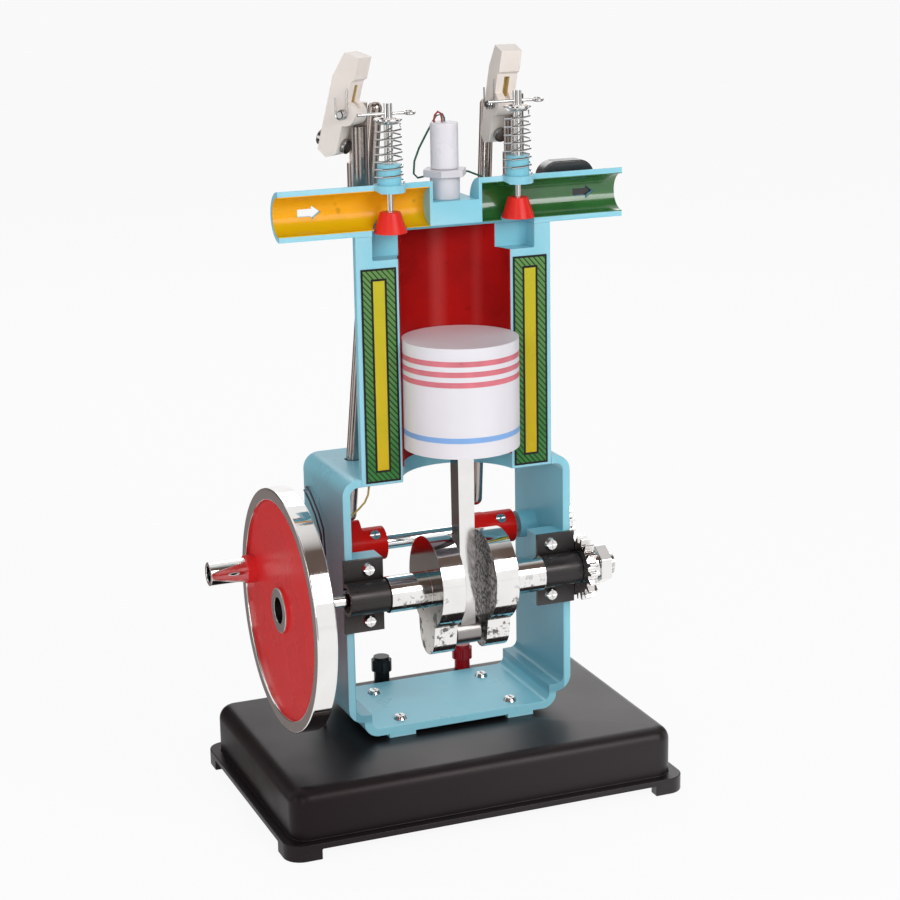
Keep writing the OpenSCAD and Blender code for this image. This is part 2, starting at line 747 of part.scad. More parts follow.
// A drop: two circles, d apart along Y, and their tangents
module drop(r1, r2, d) {
    c = (r1 - r2) / d;
    s = sqrt(1 - c * c);
    circle(r1);
    translate([0, d]) circle(r2);
    polygon([[r1 * s, r1 * c], [r2 * s, d + r2 * c], [-r2 * s, d + r2 * c], [-r1 * s, r1 * c]]);
}

// A gear's outline with a tooth on the Y axis
module gear_outline(teeth) {
    root = gear_m * (teeth / 2 - dedendum_share);
    tip = gear_m * (teeth / 2 + addendum_share);
    pitch = 360 / teeth;
    polygon([for (i = [0:teeth - 1]) for (q = [[root, -tooth_root_share], [tip, -tooth_tip_share],
        [tip, tooth_tip_share], [root, tooth_root_share]])
        q[0] * [cos(pitch * (i + q[1])), sin(pitch * (i + q[1]))]]);
}

// A round screw head with a cross slot, its top along +Z
module screw_head() {
    difference() {
        cylinder(h = screw_h, r1 = screw_r, r2 = screw_r * screw_dome_share);
        for (a = [0, 90]) rotate([0, 0, a])
            translate([-screw_r, -screw_slot_w / 2, screw_h - screw_slot_d])
            cube([2 * screw_r, screw_slot_w, screw_slot_d + over]);
    }
}

module plinth_post() {
    rotate_extrude($fn = blend_fn) difference() {
        union() {
            square([plinth_corner_r, body_h - plinth_edge_r]);
            square([plinth_corner_r - plinth_edge_r, body_h]);
            translate([plinth_corner_r - plinth_edge_r, body_h - plinth_edge_r])
                circle(plinth_edge_r);
        }
        translate([-plinth_corner_r, -plinth_corner_r])
            square([plinth_corner_r, 2 * plinth_corner_r + body_h]);
        translate([0, -plinth_corner_r]) square([plinth_corner_r, plinth_corner_r]);
    }
}

module plinth_outline() {
    rounded(-plinth_l / 2, -plinth_w / 2, plinth_l / 2, plinth_w / 2, plinth_corner_r);
}

module base_plinth() {
    color("#231f20") placed() translate([-plinth_left, plinth_back, 0]) {
        translate([0, 0, body_z]) hull()
            for (x = [-1, 1]) for (y = [-1, 1])
                translate([x * (body_half_l - plinth_corner_r), y * (body_half_w - plinth_corner_r), 0])
                plinth_post();
        translate([0, 0, foot_h]) linear_extrude(flange_t) plinth_outline();
        linear_extrude(foot_h) difference() {
            plinth_outline();
            square([plinth_l - 2 * foot_reach, plinth_w + over], center = true);
            square([plinth_l + over, plinth_w - 2 * foot_reach], center = true);
            square([plinth_l - 2 * foot_w, plinth_w - 2 * foot_w], center = true);
        }
    }
}

// Outline of the frame, drawn in by t
module frame_outline(t) {
    rounded(-frame_half + t, frame_z + step_h + t, frame_half - t, frame_top - t, frame_r - t);
    rounded(-frame_half + step_in + t, frame_z + t, frame_half - step_in - t,
        frame_top / 2, step_r - t);
}

module pushrod_holes() {
    pushrod_along(intake_rod_low, intake_rod_high, pushrod_r + rod_hole_gap);
    pushrod_along(exhaust_rod_low, exhaust_rod_high, pushrod_r + rod_hole_gap);
}

// A rod with round ends between two points
module pushrod_along(a, b, r) {
    d = b - a;
    translate(a) rotate([0, acos(d[2] / norm(d)), atan2(d[1], d[0])]) {
        cylinder(h = norm(d), r = r);
        sphere(r);
        translate([0, 0, norm(d)]) sphere(r);
    }
}

module crankcase_frame() {
    color("#86cddf") placed() difference() {
        union() {
            slab_y(cut_y, frame_back) difference() {
                frame_outline(0);
                frame_outline(wall);
            }
            for (x = [-pad_x, pad_x]) block([x - pad_l / 2, cut_y, plinth_h],
                [x + pad_l / 2, frame_back, frame_z]);
            for (s = [-1, 1]) block([s > 0 ? strap_in : -frame_half, cut_y, crank_z - strap_half_h],
                [s > 0 ? frame_half : -strap_in, cut_y + bearing_d, crank_z + strap_half_h]);
            bar_x(frame_half - wall - cam_boss_l, frame_half - wall, cam_y, cam_z, cam_boss_r);
        }
        bar_x(-frame_half - over, frame_half + over, 0, crank_z, bearing_hole_r);
        bar_x(-frame_half - over, frame_half + over, cam_y, cam_z, camshaft_r + run_gap);
        block([-plate_half_w, cut_y - over, block_z], [plate_half_w, cut_y + plate_t, frame_top + over]);
        bar_z(0, 0, block_z - over, frame_top + over, barrel_r);
        pushrod_holes();
    }
}

module bearing_strap(x0) {
    color("#1c1b1d") placed() slab_x(x0, x0 + strap_w) difference() {
        union() {
            translate([cut_y - strap_t, crank_z - strap_half_h]) square([strap_t, 2 * strap_half_h]);
            translate([0, crank_z]) circle(strap_r);
        }
        translate([0, crank_z]) circle(bearing_hole_r);
        translate([cut_y, crank_z - strap_half_h - over])
            square([strap_r, 2 * strap_half_h + 2 * over]);
    }
}

module frame_screws() {
    color("silver") placed() {
        for (s = [-1, 1]) for (u = [-1, 1])
            translate([s * (strap_in + strap_out) / 2 - s * strap_screw_in,
                cut_y - strap_t, crank_z + u * strap_screw_up])
            rotate([90, 0, 0]) screw_head();
        for (x = [-1, 1]) for (y = [floor_screw_front, floor_screw_back])
            translate([x * floor_screw_x, cut_y + y, frame_z + wall]) screw_head();
    }
}

// Everything in front of the cut, to be taken away
module front_space() {
    block([-exhaust_end - over, -tube_r - barrel_r, block_z - over],
        [exhaust_end + over, cut_y, port_z + tube_r + over]);
}

module pockets() {
    for (s = [-1, 1]) block([s > 0 ? 0 : -pocket_x, cut_y - over, block_top - pocket_drop],
        [s > 0 ? pocket_x : 0, cut_y + pocket_d, port_z - port_r]);
}

module cylinder_block() {
    color("#86cddf") placed() difference() {
        union() {
            block([-plate_half_w, cut_y, block_z], [plate_half_w, cut_y + plate_t, block_top]);
            bar_z(0, 0, block_z, block_top, barrel_r);
            block([-pocket_x - chest_wall, cut_y, block_top - chest_h],
                [pocket_x + chest_wall, cut_y + chest_d, block_top]);
        }
        bar_z(0, 0, block_z - over, block_top + over, barrel_in_r);
        front_space();
        pockets();
    }
}

module cylinder_lining() {
    color("#b01a20") placed() difference() {
        bar_z(0, 0, frame_top + lining_up, block_top, barrel_in_r);
        bar_z(0, 0, frame_top, block_top + over, bore_r);
        front_space();
        pockets();
    }
}

// The space inside both pipes with radius r
module pipe_space(r) {
    bar_x(-intake_end - over, -intake_in - port_end_t, cut_y, port_z, r);
    bar_x(exhaust_in + port_end_t, exhaust_end + over, cut_y, port_z, r);
}

module valve_holes() {
    for (x = [-intake_x, exhaust_x]) {
        bar_z(x, cut_y, block_top - over, port_z, valve_hole_r);
        bar_z(x, cut_y, port_z, guide_top + over, stem_hole_r);
    }
}

// An arrow that points along +X, its tail at the origin
module arrow() {
    neck = arrow_l * arrow_neck_share;
    half = arrow_w / 2;
    thin = half * arrow_shaft_share;
    polygon([[0, -thin], [neck, -thin], [neck, -half], [arrow_l, 0], [neck, half],
        [neck, thin], [0, thin]]);
}

module arrow_holes() {
    for (x = [-intake_arrow_x, exhaust_arrow_x]) translate([x, 0, port_z])
        slab_y(cut_y + port_r / 2, cut_y + tube_r + over) arrow();
}

module arrow_cover() {
    color("#3a3232") placed() slab_y(cover_y, cover_y + cover_t)
        rounded(cover_x0, cover_z, cover_x0 + cover_l, cover_z + cover_h, cover_r);
}

module cylinder_head() {
    color("#86cddf") placed() difference() {
        union() {
            difference() {
                union() {
                    bar_x(-intake_end, -intake_in, cut_y, port_z, tube_r);
                    bar_x(exhaust_in, exhaust_end, cut_y, port_z, tube_r);
                    block([-plate_half_w, cut_y, block_top], [plate_half_w, deck_back, deck_top]);
                    block([-intake_in, cut_y, block_top], [exhaust_in, cut_y + seat_d, seat_top]);
                }
                front_space();
            }
            for (x = [-intake_x, exhaust_x]) {
                bar_z(x, cut_y, collar_top - guide_collar_t, collar_top, guide_collar_r);
                bar_z(x, cut_y, collar_top - guide_collar_t, guide_top, guide_r);
            }
        }
        pipe_space(port_r);
        valve_holes();
        pockets();
        arrow_holes();
        block([cover_x0, cover_y, cover_z],
            [cover_x0 + cover_l, cover_y + tube_r, cover_z + cover_h]);
    }
}

// A lining of one pipe from x0 to x1
module pipe_lining(x0, x1) {
    difference() {
        bar_x(x0, x1, cut_y, port_z, port_r);
        bar_x(x0 - over, x1 + over, cut_y, port_z, port_r - port_lining_t);
        front_space();
        valve_holes();
        arrow_holes();
    }
}

module intake_lining() {
    color("#f5a800") placed() pipe_lining(-intake_end, -intake_in - port_end_t);
}

module exhaust_lining() {
    color("#1f6b2c") placed() pipe_lining(exhaust_in + port_end_t, exhaust_end);
}

module jacket_label(x0) {
    color("#5fa653") placed() block([x0, cut_y - label_t, block_z + label_low],
        [x0 + label_w, cut_y, block_z + label_low + label_h]);
}

module plug_body() {
    color("#ddd8e6") placed() {
        bar_z(0, plug_back, seat_top, hex_z, plug_r);
        translate([0, plug_back, hex_z]) cylinder(h = hex_h, d = hex_d, $fn = hex_sides);
    }
}

module plug_cap() {
    color("#f0edf5") placed() bar_z(0, plug_back, cap_z, cap_top, cap_r);
}

module plug_red_lead() {
    color("#b02a2a") placed() lead(red_route);
}

module plug_green_lead() {
    color("#1f6b3a") placed() lead(green_route);
}

module wall_leads() {
    color("#4a2530") placed() {
        lead(wall_route_red);
        lead(wall_route_blue);
    }
}

module tan_lead() {
    color("#b8964a") placed() lead(tan_route);
}

// Carries a piece from a post's own frame, where X runs along the rocker's pin
module at_post(x, yaw) {
    translate([x, post_back, 0]) rotate([0, 0, yaw]) children();
}

module rocker_post(x, yaw) {
    color("silver") placed() at_post(x, yaw) difference() {
        bar_z(0, 0, deck_top, post_top, post_r);
        block([-post_r - over, -post_r - over, post_step_z], [post_cut_x, post_r + over, post_top + over]);
        block([-post_r - over, -post_r * post_keep_share, post_back_z],
            [post_cut_x, post_r + over, post_top + over]);
        bar_x(0, post_r + over, 0, rocker_z, rocker_pin_r);
    }
}

module rocker_pins() {
    color("silver") placed() {
        for (q = [[rocker_left_x, rocker_left_yaw], [post_right_x, rocker_right_yaw]])
            at_post(q[0], q[1]) bar_x(-rocker_out - rocker_pin_out, post_r, 0, rocker_z, rocker_pin_r);
    }
}

module torsion_springs() {
    color("silver") placed() {
        for (q = [[rocker_left_x, rocker_left_yaw], [post_right_x, rocker_right_yaw]])
            at_post(q[0], q[1]) translate([-rocker_out - move_gap - torsion_wire_r, 0, rocker_z])
            rotate([torsion_turn, 0, 0])
            tube(torsion_path, [for (p = torsion_path) torsion_side(p)], torsion_wire_r, ring_sides);
    }
}
function torsion_side(p) = [1, 0, 0];

// A rocker's outline with its pin at the origin: the nose along +X, its back along +Y
module rocker_outline() {
    polygon([[-rocker_tail * tail_foot_share, rocker_t * tail_low_share],
        [-rocker_tail, rocker_t * tail_mid_share], [-rocker_tail * tail_top_share, rocker_t],
        [rocker_nose * nose_crease_share, rocker_t], [rocker_nose, rocker_t * nose_top_share],
        [rocker_nose, -rocker_t * nose_drop_share],
        [rocker_nose * pad_share, -rocker_t * nose_drop_share], [rocker_nose * pad_foot_share, 0],
        [-rocker_tail * tail_foot_share * tail_foot_share, 0]]);
}

// Carries a piece from a level rocker, nose along -Y, to its raised place
module at_rocker(x, yaw, lift) {
    at_post(x, yaw) translate([0, 0, rocker_z]) rotate([-lift, 0, 0]) children();
}

module rocker(x, yaw, lift) {
    color("#ebdcd0") placed() at_rocker(x, yaw, lift) difference() {
        union() {
            slab_x(-rocker_out, -rocker_out + rocker_w) mirror([1, 0]) rocker_outline();
            bar_x(-rocker_out, -rocker_out + rocker_w, 0, 0, rocker_hub_r);
        }
        bar_x(-rocker_out - over, half_gap + over, 0, 0, rocker_pin_r + run_gap);
        block([-rocker_side - slot_w / 2, -rocker_nose * slot_end_share, -rocker_t],
            [-rocker_side + slot_w / 2, -rocker_nose * slot_start_share, slot_d]);
        bar_z(-rocker_side, adjuster_back, -rocker_t, rocker_t + over, adjuster_r);
    }
}

module adjuster(x, yaw, lift) {
    color("#c9c4bd") placed() at_rocker(x, yaw, lift) {
        bar_z(-rocker_side, adjuster_back, -adjuster_nut_h, rocker_t + adjuster_head_h, adjuster_r);
        bar_z(-rocker_side, adjuster_back, rocker_t, rocker_t + adjuster_head_h, adjuster_head_r);
        bar_z(-rocker_side, adjuster_back, -adjuster_nut_h, 0, adjuster_nut_r);
    }
}

module intake_pushrod() {
    color("silver") placed() pushrod_along(intake_rod_low, intake_rod_high, pushrod_r);
}

module exhaust_pushrod() {
    color("silver") placed() pushrod_along(exhaust_rod_low, exhaust_rod_high, pushrod_r);
}

// A valve's stem at x, raised by up
module valve_stem(x, up) {
    color("silver") placed() translate([x, cut_y, up]) difference() {
        union() {
            bar_z(0, 0, stem_step, stem_top, stem_r);
            bar_z(0, 0, port_z - cone_down, stem_step, stem_low_r);
        }
        bar_x(-stem_r - over, stem_r + over, 0, cotter_z, cotter_r);
    }
}

module valve_cone(x, up) {
    color("#e0201e") placed() translate([x, cut_y, port_z - cone_down + up]) difference() {
        cylinder(h = cone_h, r1 = cone_r, r2 = cone_top_r);
        translate([0, 0, -over]) cylinder(h = cone_h + 2 * over, r = stem_low_r);
    }
}

module retainer(x, up) {
    color("silver") placed() translate([x, cut_y, retainer_z + up]) rotate_extrude()
        polygon([[stem_r, 0], [retainer_r - 2 * retainer_lip, 0],
            [retainer_r, retainer_t - retainer_lip], [retainer_r, retainer_t],
            [retainer_r - retainer_lip, retainer_t], [retainer_r - 3 * retainer_lip, retainer_lip],
            [stem_r, retainer_lip]]);
}

module cotter(x, up, left, right, eye) {
    color("silver") placed() translate([x, cut_y, cotter_z + up]) {
        bar_x(-left, right, 0, 0, cotter_r);
        translate([right + eye * (cotter_eye_r - cotter_r), 0, 0]) rotate([cotter_tilt, 0, 0])
            rotate_extrude() translate([cotter_eye_r, 0]) circle(cotter_r);
    }
}

module valve_spring(x, path) {
    color("silver") placed() translate([x, cut_y, 0])
        tube(path, coil_sides(path), wire_r, ring_sides);
}

module flywheel_rim() {
    color("silver") placed() difference() {
        bar_x(-wheel_out, -wheel_in, 0, crank_z, wheel_r);
        bar_x(-wheel_out - over, -wheel_in + over, 0, crank_z, rim_in_r);
    }
}

module flywheel_disc() {
    color("#c4393e") placed() difference() {
        union() {
            bar_x(-disc_out, -disc_x, 0, crank_z, rim_in_r);
            bar_x(-disc_out - boss_l, -disc_out, handle_y, handle_z, boss_r);
        }
        bar_x(-disc_out - over, -disc_x + over, 0, crank_z, hub_r);
        bar_x(-disc_out - boss_l - over, -disc_out, handle_y, handle_z, handle_r);
    }
}

module flywheel_hub() {
    color("silver") placed() difference() {
        bar_x(-wheel_out, -wheel_in, 0, crank_z, hub_r);
        bar_x(-wheel_out - over, -wheel_out + hub_socket_d, 0, crank_z, hub_socket_r);
        bar_x(-wheel_out + hub_socket_d - over, -wheel_in + over, 0, crank_z, thin_shaft_r);
    }
}

module crank_handle() {
    color("#d8d4d4") placed() difference() {
        bar_x(-handle_out, -disc_out, handle_y, handle_z, handle_r);
        bar_x(-handle_out - over, -handle_out + handle_bore_d, handle_y, handle_z, handle_bore_r);
    }
}

module crank_web(x0) {
    slab_x(x0, x0 + web_t) translate([0, crank_z]) {
        translate([0, web_disc_up]) circle(web_r);
        mirror([0, 1]) drop(web_waist_r, web_end_r, throw);
    }
}

module crankshaft() {
    color("silver") placed() {
        crank_web(-web_out);
        crank_web(web_in);
        for (s = [-1, 1]) bar_x(s > 0 ? web_out : -strap_in + gear_gap,
            s > 0 ? strap_in - gear_gap : -web_out, 0, crank_z, journal_r);
        bar_x(-strap_out + bearing_inset, -strap_in + gear_gap, 0, crank_z, bearing_r);
        bar_x(strap_in - gear_gap, strap_out, 0, crank_z, bearing_r);
        bar_x(-wheel_out + hub_socket_d, -strap_out + bearing_inset, 0, crank_z, thin_shaft_r);
        bar_x(strap_out, shaft_end, 0, crank_z, end_shaft_r);
    }
}

module crank_gear() {
    color("silver") placed() difference() {
        union() {
            slab_x(gear_x, gear_out) translate([0, crank_z]) rotate(mesh_turn)
                gear_outline(gear_teeth);
            bar_x(gear_x, collar_out, 0, crank_z, collar_r);
        }
        bar_x(gear_x - over, collar_out + over, 0, crank_z, end_shaft_r);
    }
}

module crank_nut() {
    color("silver") placed() difference() {
        translate([collar_out, 0, crank_z]) rotate([0, 90, 0])
            cylinder(h = nut_l, d = nut_d, $fn = hex_sides);
        bar_x(collar_out - over, nut_out + over, 0, crank_z, end_shaft_r);
    }
}

module camshaft() {
    color("silver") placed() bar_x(-frame_half, gear_out, cam_y, cam_z, camshaft_r);
}

module cam_gear() {
    color("silver") placed() difference() {
        slab_x(gear_x, gear_out) translate([cam_y, cam_z])
            rotate(mesh_turn + 180 + 180 / cam_teeth) gear_outline(cam_teeth);
        bar_x(gear_x - over, gear_out + over, cam_y, cam_z, camshaft_r);
    }
}

// A cam: its lobe from x0 over w, then its hub of length l, the tip turned by a
module cam(x0, w, l, a) {
    color("#c8282c") placed() difference() {
        union() {
            slab_x(x0, x0 + w) translate([cam_y, cam_z]) rotate(a)
                drop(cam_r, cam_nose_r, cam_tip - cam_nose_r);
            bar_x(x0 + w, x0 + w + l, cam_y, cam_z, cam_r - cam_hub_step);
        }
        bar_x(x0 - over, x0 + w + l + over, cam_y, cam_z, camshaft_r);
        translate([x0 + w + l / 2, cam_y, cam_z]) rotate([set_screw_turn, 0, 0])
            cylinder(h = cam_r + over, r = set_screw_r);
    }
}

// A set screw in a cam's hub whose middle is at x, under a cross slot
module set_screw(x) {
    translate([x, cam_y, cam_z]) rotate([set_screw_turn, 0, 0]) difference() {
        translate([0, 0, camshaft_r]) cylinder(h = cam_r + set_screw_out - camshaft_r, r = set_screw_r);
        for (a = [0, 90]) rotate([0, 0, a])
            translate([-set_screw_r, -screw_slot_w / 2, cam_r + set_screw_out - screw_slot_d])
            cube([2 * set_screw_r, screw_slot_w, screw_slot_d + over]);
    }
}

module cam_screws() {
    color("silver") placed() {
        set_screw(-intake_lobe_x + intake_lobe_w + intake_hub_l / 2);
        set_screw(exhaust_lobe_x + exhaust_lobe_w + exhaust_hub_l / 2);
    }
}

module connecting_rod() {
    color("silver") placed() difference() {
        union() {
            slab_y(-rod_d / 2, rod_d / 2) polygon([[-rod_low_w / 2, pin_z], [rod_low_w / 2, pin_z],
                [rod_w / 2, wrist_z], [-rod_w / 2, wrist_z]]);
            bar_x(-rod_end_w / 2, rod_end_w / 2, 0, pin_z, big_end_r);
            bar_x(-rod_end_w / 2, rod_end_w / 2, 0, wrist_z, small_end_r);
        }
        bar_x(-rod_end_w, rod_end_w, 0, pin_z, pin_r);
        bar_x(-rod_end_w, rod_end_w, 0, wrist_z, pin_r + run_gap);
    }
}

module crank_pin() {
    color("silver") placed() bar_x(-crank_pin_l / 2, crank_pin_l / 2, 0, pin_z, pin_r);
}

module ring_band(z0, r0, r1) {
    difference() {
        bar_z(0, 0, z0, z0 + ring_w, r1);
        bar_z(0, 0, z0 - over, z0 + ring_w + over, r0);
    }
}

module piston() {
    color("#e8e4e8") placed() difference() {
        bar_z(0, 0, piston_z, piston_top, piston_r);
        bar_z(0, 0, piston_z - over, piston_top - crown_t, piston_r - piston_wall);
        bar_x(-wrist_half, wrist_half, 0, wrist_z, pin_r);
        for (i = [0:2]) ring_band(ring_low - i * ring_pitch, ring_in_r, piston_r + over);
        ring_band(piston_z + oil_ring_up, ring_in_r, piston_r + over);
    }
}

module compression_rings() {
    color("#eb6e7d") placed()
        for (i = [0:2]) ring_band(ring_low - i * ring_pitch, ring_in_r, piston_r + ring_out);
}

module oil_ring() {
    color("#5a96e6") placed() ring_band(piston_z + oil_ring_up, ring_in_r, piston_r + ring_out);
}

module wrist_pin() {
    color("silver") placed() bar_x(-wrist_half, wrist_half, 0, wrist_z, pin_r);
}

// A terminal's foot with its stud
module terminal_stud(x) {
    bar_z(x, terminal_back, plinth_h, plinth_h + terminal_foot_h, terminal_foot_r);
    bar_z(x, terminal_back, plinth_h, plinth_h + terminal_foot_h + stud_h, stud_r);
}

module terminal_studs() {
    color("#2a2628") placed() {
        terminal_stud(-terminal_black_x);
        terminal_stud(terminal_red_x);
    }
}

module terminal_knob(x) {
    placed() translate([x, terminal_back, plinth_h + terminal_foot_h + move_gap]) difference() {
        union() {
            cylinder(h = skirt_h + over / 2, r = skirt_r);
            translate([0, 0, skirt_h]) linear_extrude(knob_h) difference() {
                circle(knob_r);
                for (i = [0:grooves - 1]) rotate(360 * (i + 0.5) / grooves)
                    translate([knob_r, 0]) circle(groove_r, $fn = blend_fn);
            }
            translate([0, 0, skirt_h + knob_h - over / 2])
                cylinder(h = knob_top_h + over / 2, r = knob_top_r);
        }
        translate([0, 0, -over]) cylinder(h = stud_h + over + move_gap, r = stud_r + run_gap);
    }
}

base_plinth();
crankcase_frame();
cylinder_block();
cylinder_lining();
cylinder_head();
intake_lining();
exhaust_lining();
jacket_label(-label_in - label_w);  // jacket_label_left
jacket_label(label_in);  // jacket_label_right
arrow_cover();
plug_body();
plug_cap();
plug_red_lead();
plug_green_lead();
rocker_post(rocker_left_x, rocker_left_yaw);  // rocker_post_left
rocker_post(post_right_x, rocker_right_yaw);  // rocker_post_right
rocker_pins();
torsion_springs();
bearing_strap(-strap_out);  // bearing_strap_left
bearing_strap(strap_in);  // bearing_strap_right
frame_screws();
terminal_studs();
wall_leads();
tan_lead();
valve_spring(-intake_x, intake_coil);  // intake_spring
valve_spring(exhaust_x, exhaust_coil);  // exhaust_spring
flywheel_rim();
flywheel_disc();
flywheel_hub();
crank_handle();
crankshaft();
crank_gear();
crank_nut();
camshaft();
cam(-intake_lobe_x, intake_lobe_w, intake_hub_l, intake_cam_turn);  // intake_cam
cam(exhaust_lobe_x, exhaust_lobe_w, exhaust_hub_l, exhaust_cam_turn);  // exhaust_cam
cam_screws();
cam_gear();
connecting_rod();
crank_pin();
piston();
compression_rings();
oil_ring();
wrist_pin();
valve_stem(-intake_x, 0);  // intake_valve
valve_cone(-intake_x, 0);  // intake_cone
retainer(-intake_x, 0);  // intake_retainer
cotter(-intake_x, 0, cotter_left, cotter_right, 1);  // intake_cotter
valve_stem(exhaust_x, exhaust_lift);  // exhaust_valve
valve_cone(exhaust_x, exhaust_lift);  // exhaust_cone
retainer(exhaust_x, exhaust_lift);  // exhaust_retainer
cotter(exhaust_x, exhaust_lift, cotter_left, cotter_right, 1);  // exhaust_cotter
intake_pushrod();
exhaust_pushrod();
rocker(rocker_left_x, rocker_left_yaw, rocker_left_lift);  // rocker_left
rocker(post_right_x, rocker_right_yaw, rocker_right_lift);  // rocker_right
adjuster(rocker_left_x, rocker_left_yaw, rocker_left_lift);  // adjuster_left
adjuster(post_right_x, rocker_right_yaw, rocker_right_lift);  // adjuster_right
color("#1c1b1d") terminal_knob(-terminal_black_x);  // terminal_knob_black
color("#c8282c") terminal_knob(terminal_red_x);  // terminal_knob_red
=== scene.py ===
import json
import math

import bmesh
import bpy
from bpy.props import FloatProperty, FloatVectorProperty, IntProperty, PointerProperty
from mathutils import Matrix, Vector

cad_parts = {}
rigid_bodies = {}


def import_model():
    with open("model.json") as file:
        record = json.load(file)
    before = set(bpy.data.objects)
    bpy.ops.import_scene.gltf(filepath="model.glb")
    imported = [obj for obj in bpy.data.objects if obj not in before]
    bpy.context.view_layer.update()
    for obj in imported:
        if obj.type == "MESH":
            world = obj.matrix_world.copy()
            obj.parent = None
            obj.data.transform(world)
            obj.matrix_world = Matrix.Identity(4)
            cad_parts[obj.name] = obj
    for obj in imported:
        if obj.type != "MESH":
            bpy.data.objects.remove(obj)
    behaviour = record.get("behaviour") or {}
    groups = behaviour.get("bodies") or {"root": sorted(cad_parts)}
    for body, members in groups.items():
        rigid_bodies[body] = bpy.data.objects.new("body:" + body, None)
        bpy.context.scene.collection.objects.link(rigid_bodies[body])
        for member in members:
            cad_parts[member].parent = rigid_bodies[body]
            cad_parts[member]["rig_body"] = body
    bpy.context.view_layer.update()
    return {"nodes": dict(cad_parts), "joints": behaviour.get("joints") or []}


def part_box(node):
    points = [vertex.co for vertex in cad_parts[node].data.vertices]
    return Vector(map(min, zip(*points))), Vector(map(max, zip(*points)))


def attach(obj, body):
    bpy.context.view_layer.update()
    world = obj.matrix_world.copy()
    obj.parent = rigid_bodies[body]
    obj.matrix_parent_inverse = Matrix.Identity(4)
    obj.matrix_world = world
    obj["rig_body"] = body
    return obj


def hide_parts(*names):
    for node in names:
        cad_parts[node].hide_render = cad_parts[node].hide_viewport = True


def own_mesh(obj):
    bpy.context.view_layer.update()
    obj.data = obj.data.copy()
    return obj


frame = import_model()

bl_info = {
    "name": "Four-stroke Engine Model",
    "version": (1, 0, 0),
    "blender": (4, 5, 0),
    "location": "View3D > Sidebar > Engine Model",
    "description": "Finishes a cut-away engine model: castings, chrome, enamel, labels and plinth",
    "category": "Object",
}

MM = 0.001
NODES = frame["nodes"]
JOINTS = {joint["name"]: joint for joint in frame["joints"]}
CRANK = Vector(JOINTS["crank_turn"]["pos_m"])
CAM = Vector(JOINTS["cam_turn"]["pos_m"])
# Edges sharper than this many degrees are rounded
FINE_ANGLE = 32.0
CASTING_ANGLE = 40.0
# Where a mix node keeps its factor, its two colours and their mix
MIX_INPUTS = (0, 6, 7)
MIX_RESULT = 2


# Settings that a user would change

class StageSettings(bpy.types.PropertyGroup):
    turn: FloatProperty(
        name="Turn", description="Camera's turn about the model", default=math.radians(-21.744),
        subtype="ANGLE")
    rise: FloatProperty(
        name="Rise", description="Camera's height angle over the table", default=math.radians(14.977),
        subtype="ANGLE")
    roll: FloatProperty(
        name="Roll", description="Camera's roll about its view", default=math.radians(-1.003),
        subtype="ANGLE")
    distance: FloatProperty(
        name="Distance", description="Camera's distance from its target", default=1.0631, unit="LENGTH")
    target: FloatVectorProperty(
        name="Target", description="Point the camera looks at", default=(0.00233, -0.0175, 0.1789),
        subtype="TRANSLATION")
    lens: FloatProperty(
        name="Lens", description="Focal length in millimetres on a 36 mm sensor", default=87.93)
    floor: FloatVectorProperty(
        name="Floor", description="Colour of the floor", default=(0.86, 0.86, 0.865), subtype="COLOR")


class FinishSettings(bpy.types.PropertyGroup):
    casting: FloatVectorProperty(
        name="Casting", description="Enamel of the castings", default=(0.26, 0.655, 0.78), subtype="COLOR")
    plinth: FloatVectorProperty(
        name="Plinth", description="Plastic of the plinth", default=(0.0095, 0.0068, 0.0074), subtype="COLOR")
    chrome: FloatVectorProperty(
        name="Chrome", description="Plated steel", default=(0.90, 0.885, 0.87), subtype="COLOR")
    bore: FloatVectorProperty(
        name="Bore", description="Enamel of the cylinder's bore", default=(0.42, 0.0022, 0.0018),
        subtype="COLOR")
    intake: FloatVectorProperty(
        name="Intake", description="Enamel inside the intake pipe", default=(0.93, 0.425, 0.0005),
        subtype="COLOR")
    exhaust: FloatVectorProperty(
        name="Exhaust", description="Enamel inside the exhaust pipe", default=(0.018, 0.14, 0.02),
        subtype="COLOR")
    wheel: FloatVectorProperty(
        name="Wheel", description="Enamel of the flywheel's disc", default=(0.80, 0.033, 0.035),
        subtype="COLOR")
    cams: FloatVectorProperty(
        name="Cams", description="Enamel of the cams", default=(0.72, 0.011, 0.008), subtype="COLOR")
    valves: FloatVectorProperty(
        name="Valves", description="Plastic of the valve cones", default=(0.80, 0.022, 0.014),
        subtype="COLOR")
    piston: FloatVectorProperty(
        name="Piston", description="Plastic of the piston", default=(0.84, 0.81, 0.845), subtype="COLOR")
    plug: FloatVectorProperty(
        name="Plug", description="Milky plastic of the plug", default=(0.82, 0.79, 0.83), subtype="COLOR")
    rocker: FloatVectorProperty(
        name="Rocker", description="Plastic of the rockers", default=(0.88, 0.79, 0.72), subtype="COLOR")
    hatch: FloatProperty(
        name="Hatch", description="Distance between the label's hatch lines", default=3.0 * MM, unit="LENGTH")


class ShapeSettings(bpy.types.PropertyGroup):
    casting_edge: FloatProperty(
        name="Casting Edge", description="Rounding of the castings' edges", default=0.55 * MM, unit="LENGTH")
    turned_edge: FloatProperty(
        name="Turned Edge", description="Rounding of the turned parts' edges", default=0.4 * MM,
        unit="LENGTH")
    small_edge: FloatProperty(
        name="Small Edge", description="Rounding of small parts' edges", default=0.22 * MM, unit="LENGTH")
    edge_steps: IntProperty(
        name="Edge Steps", description="Faces across a rounded edge", default=2, min=1, max=6)


# Shader nodes

def node(tree, kind, **values):
    made = tree.nodes.new(kind)
    for key, value in values.items():
        setattr(made, key, value)
    return made


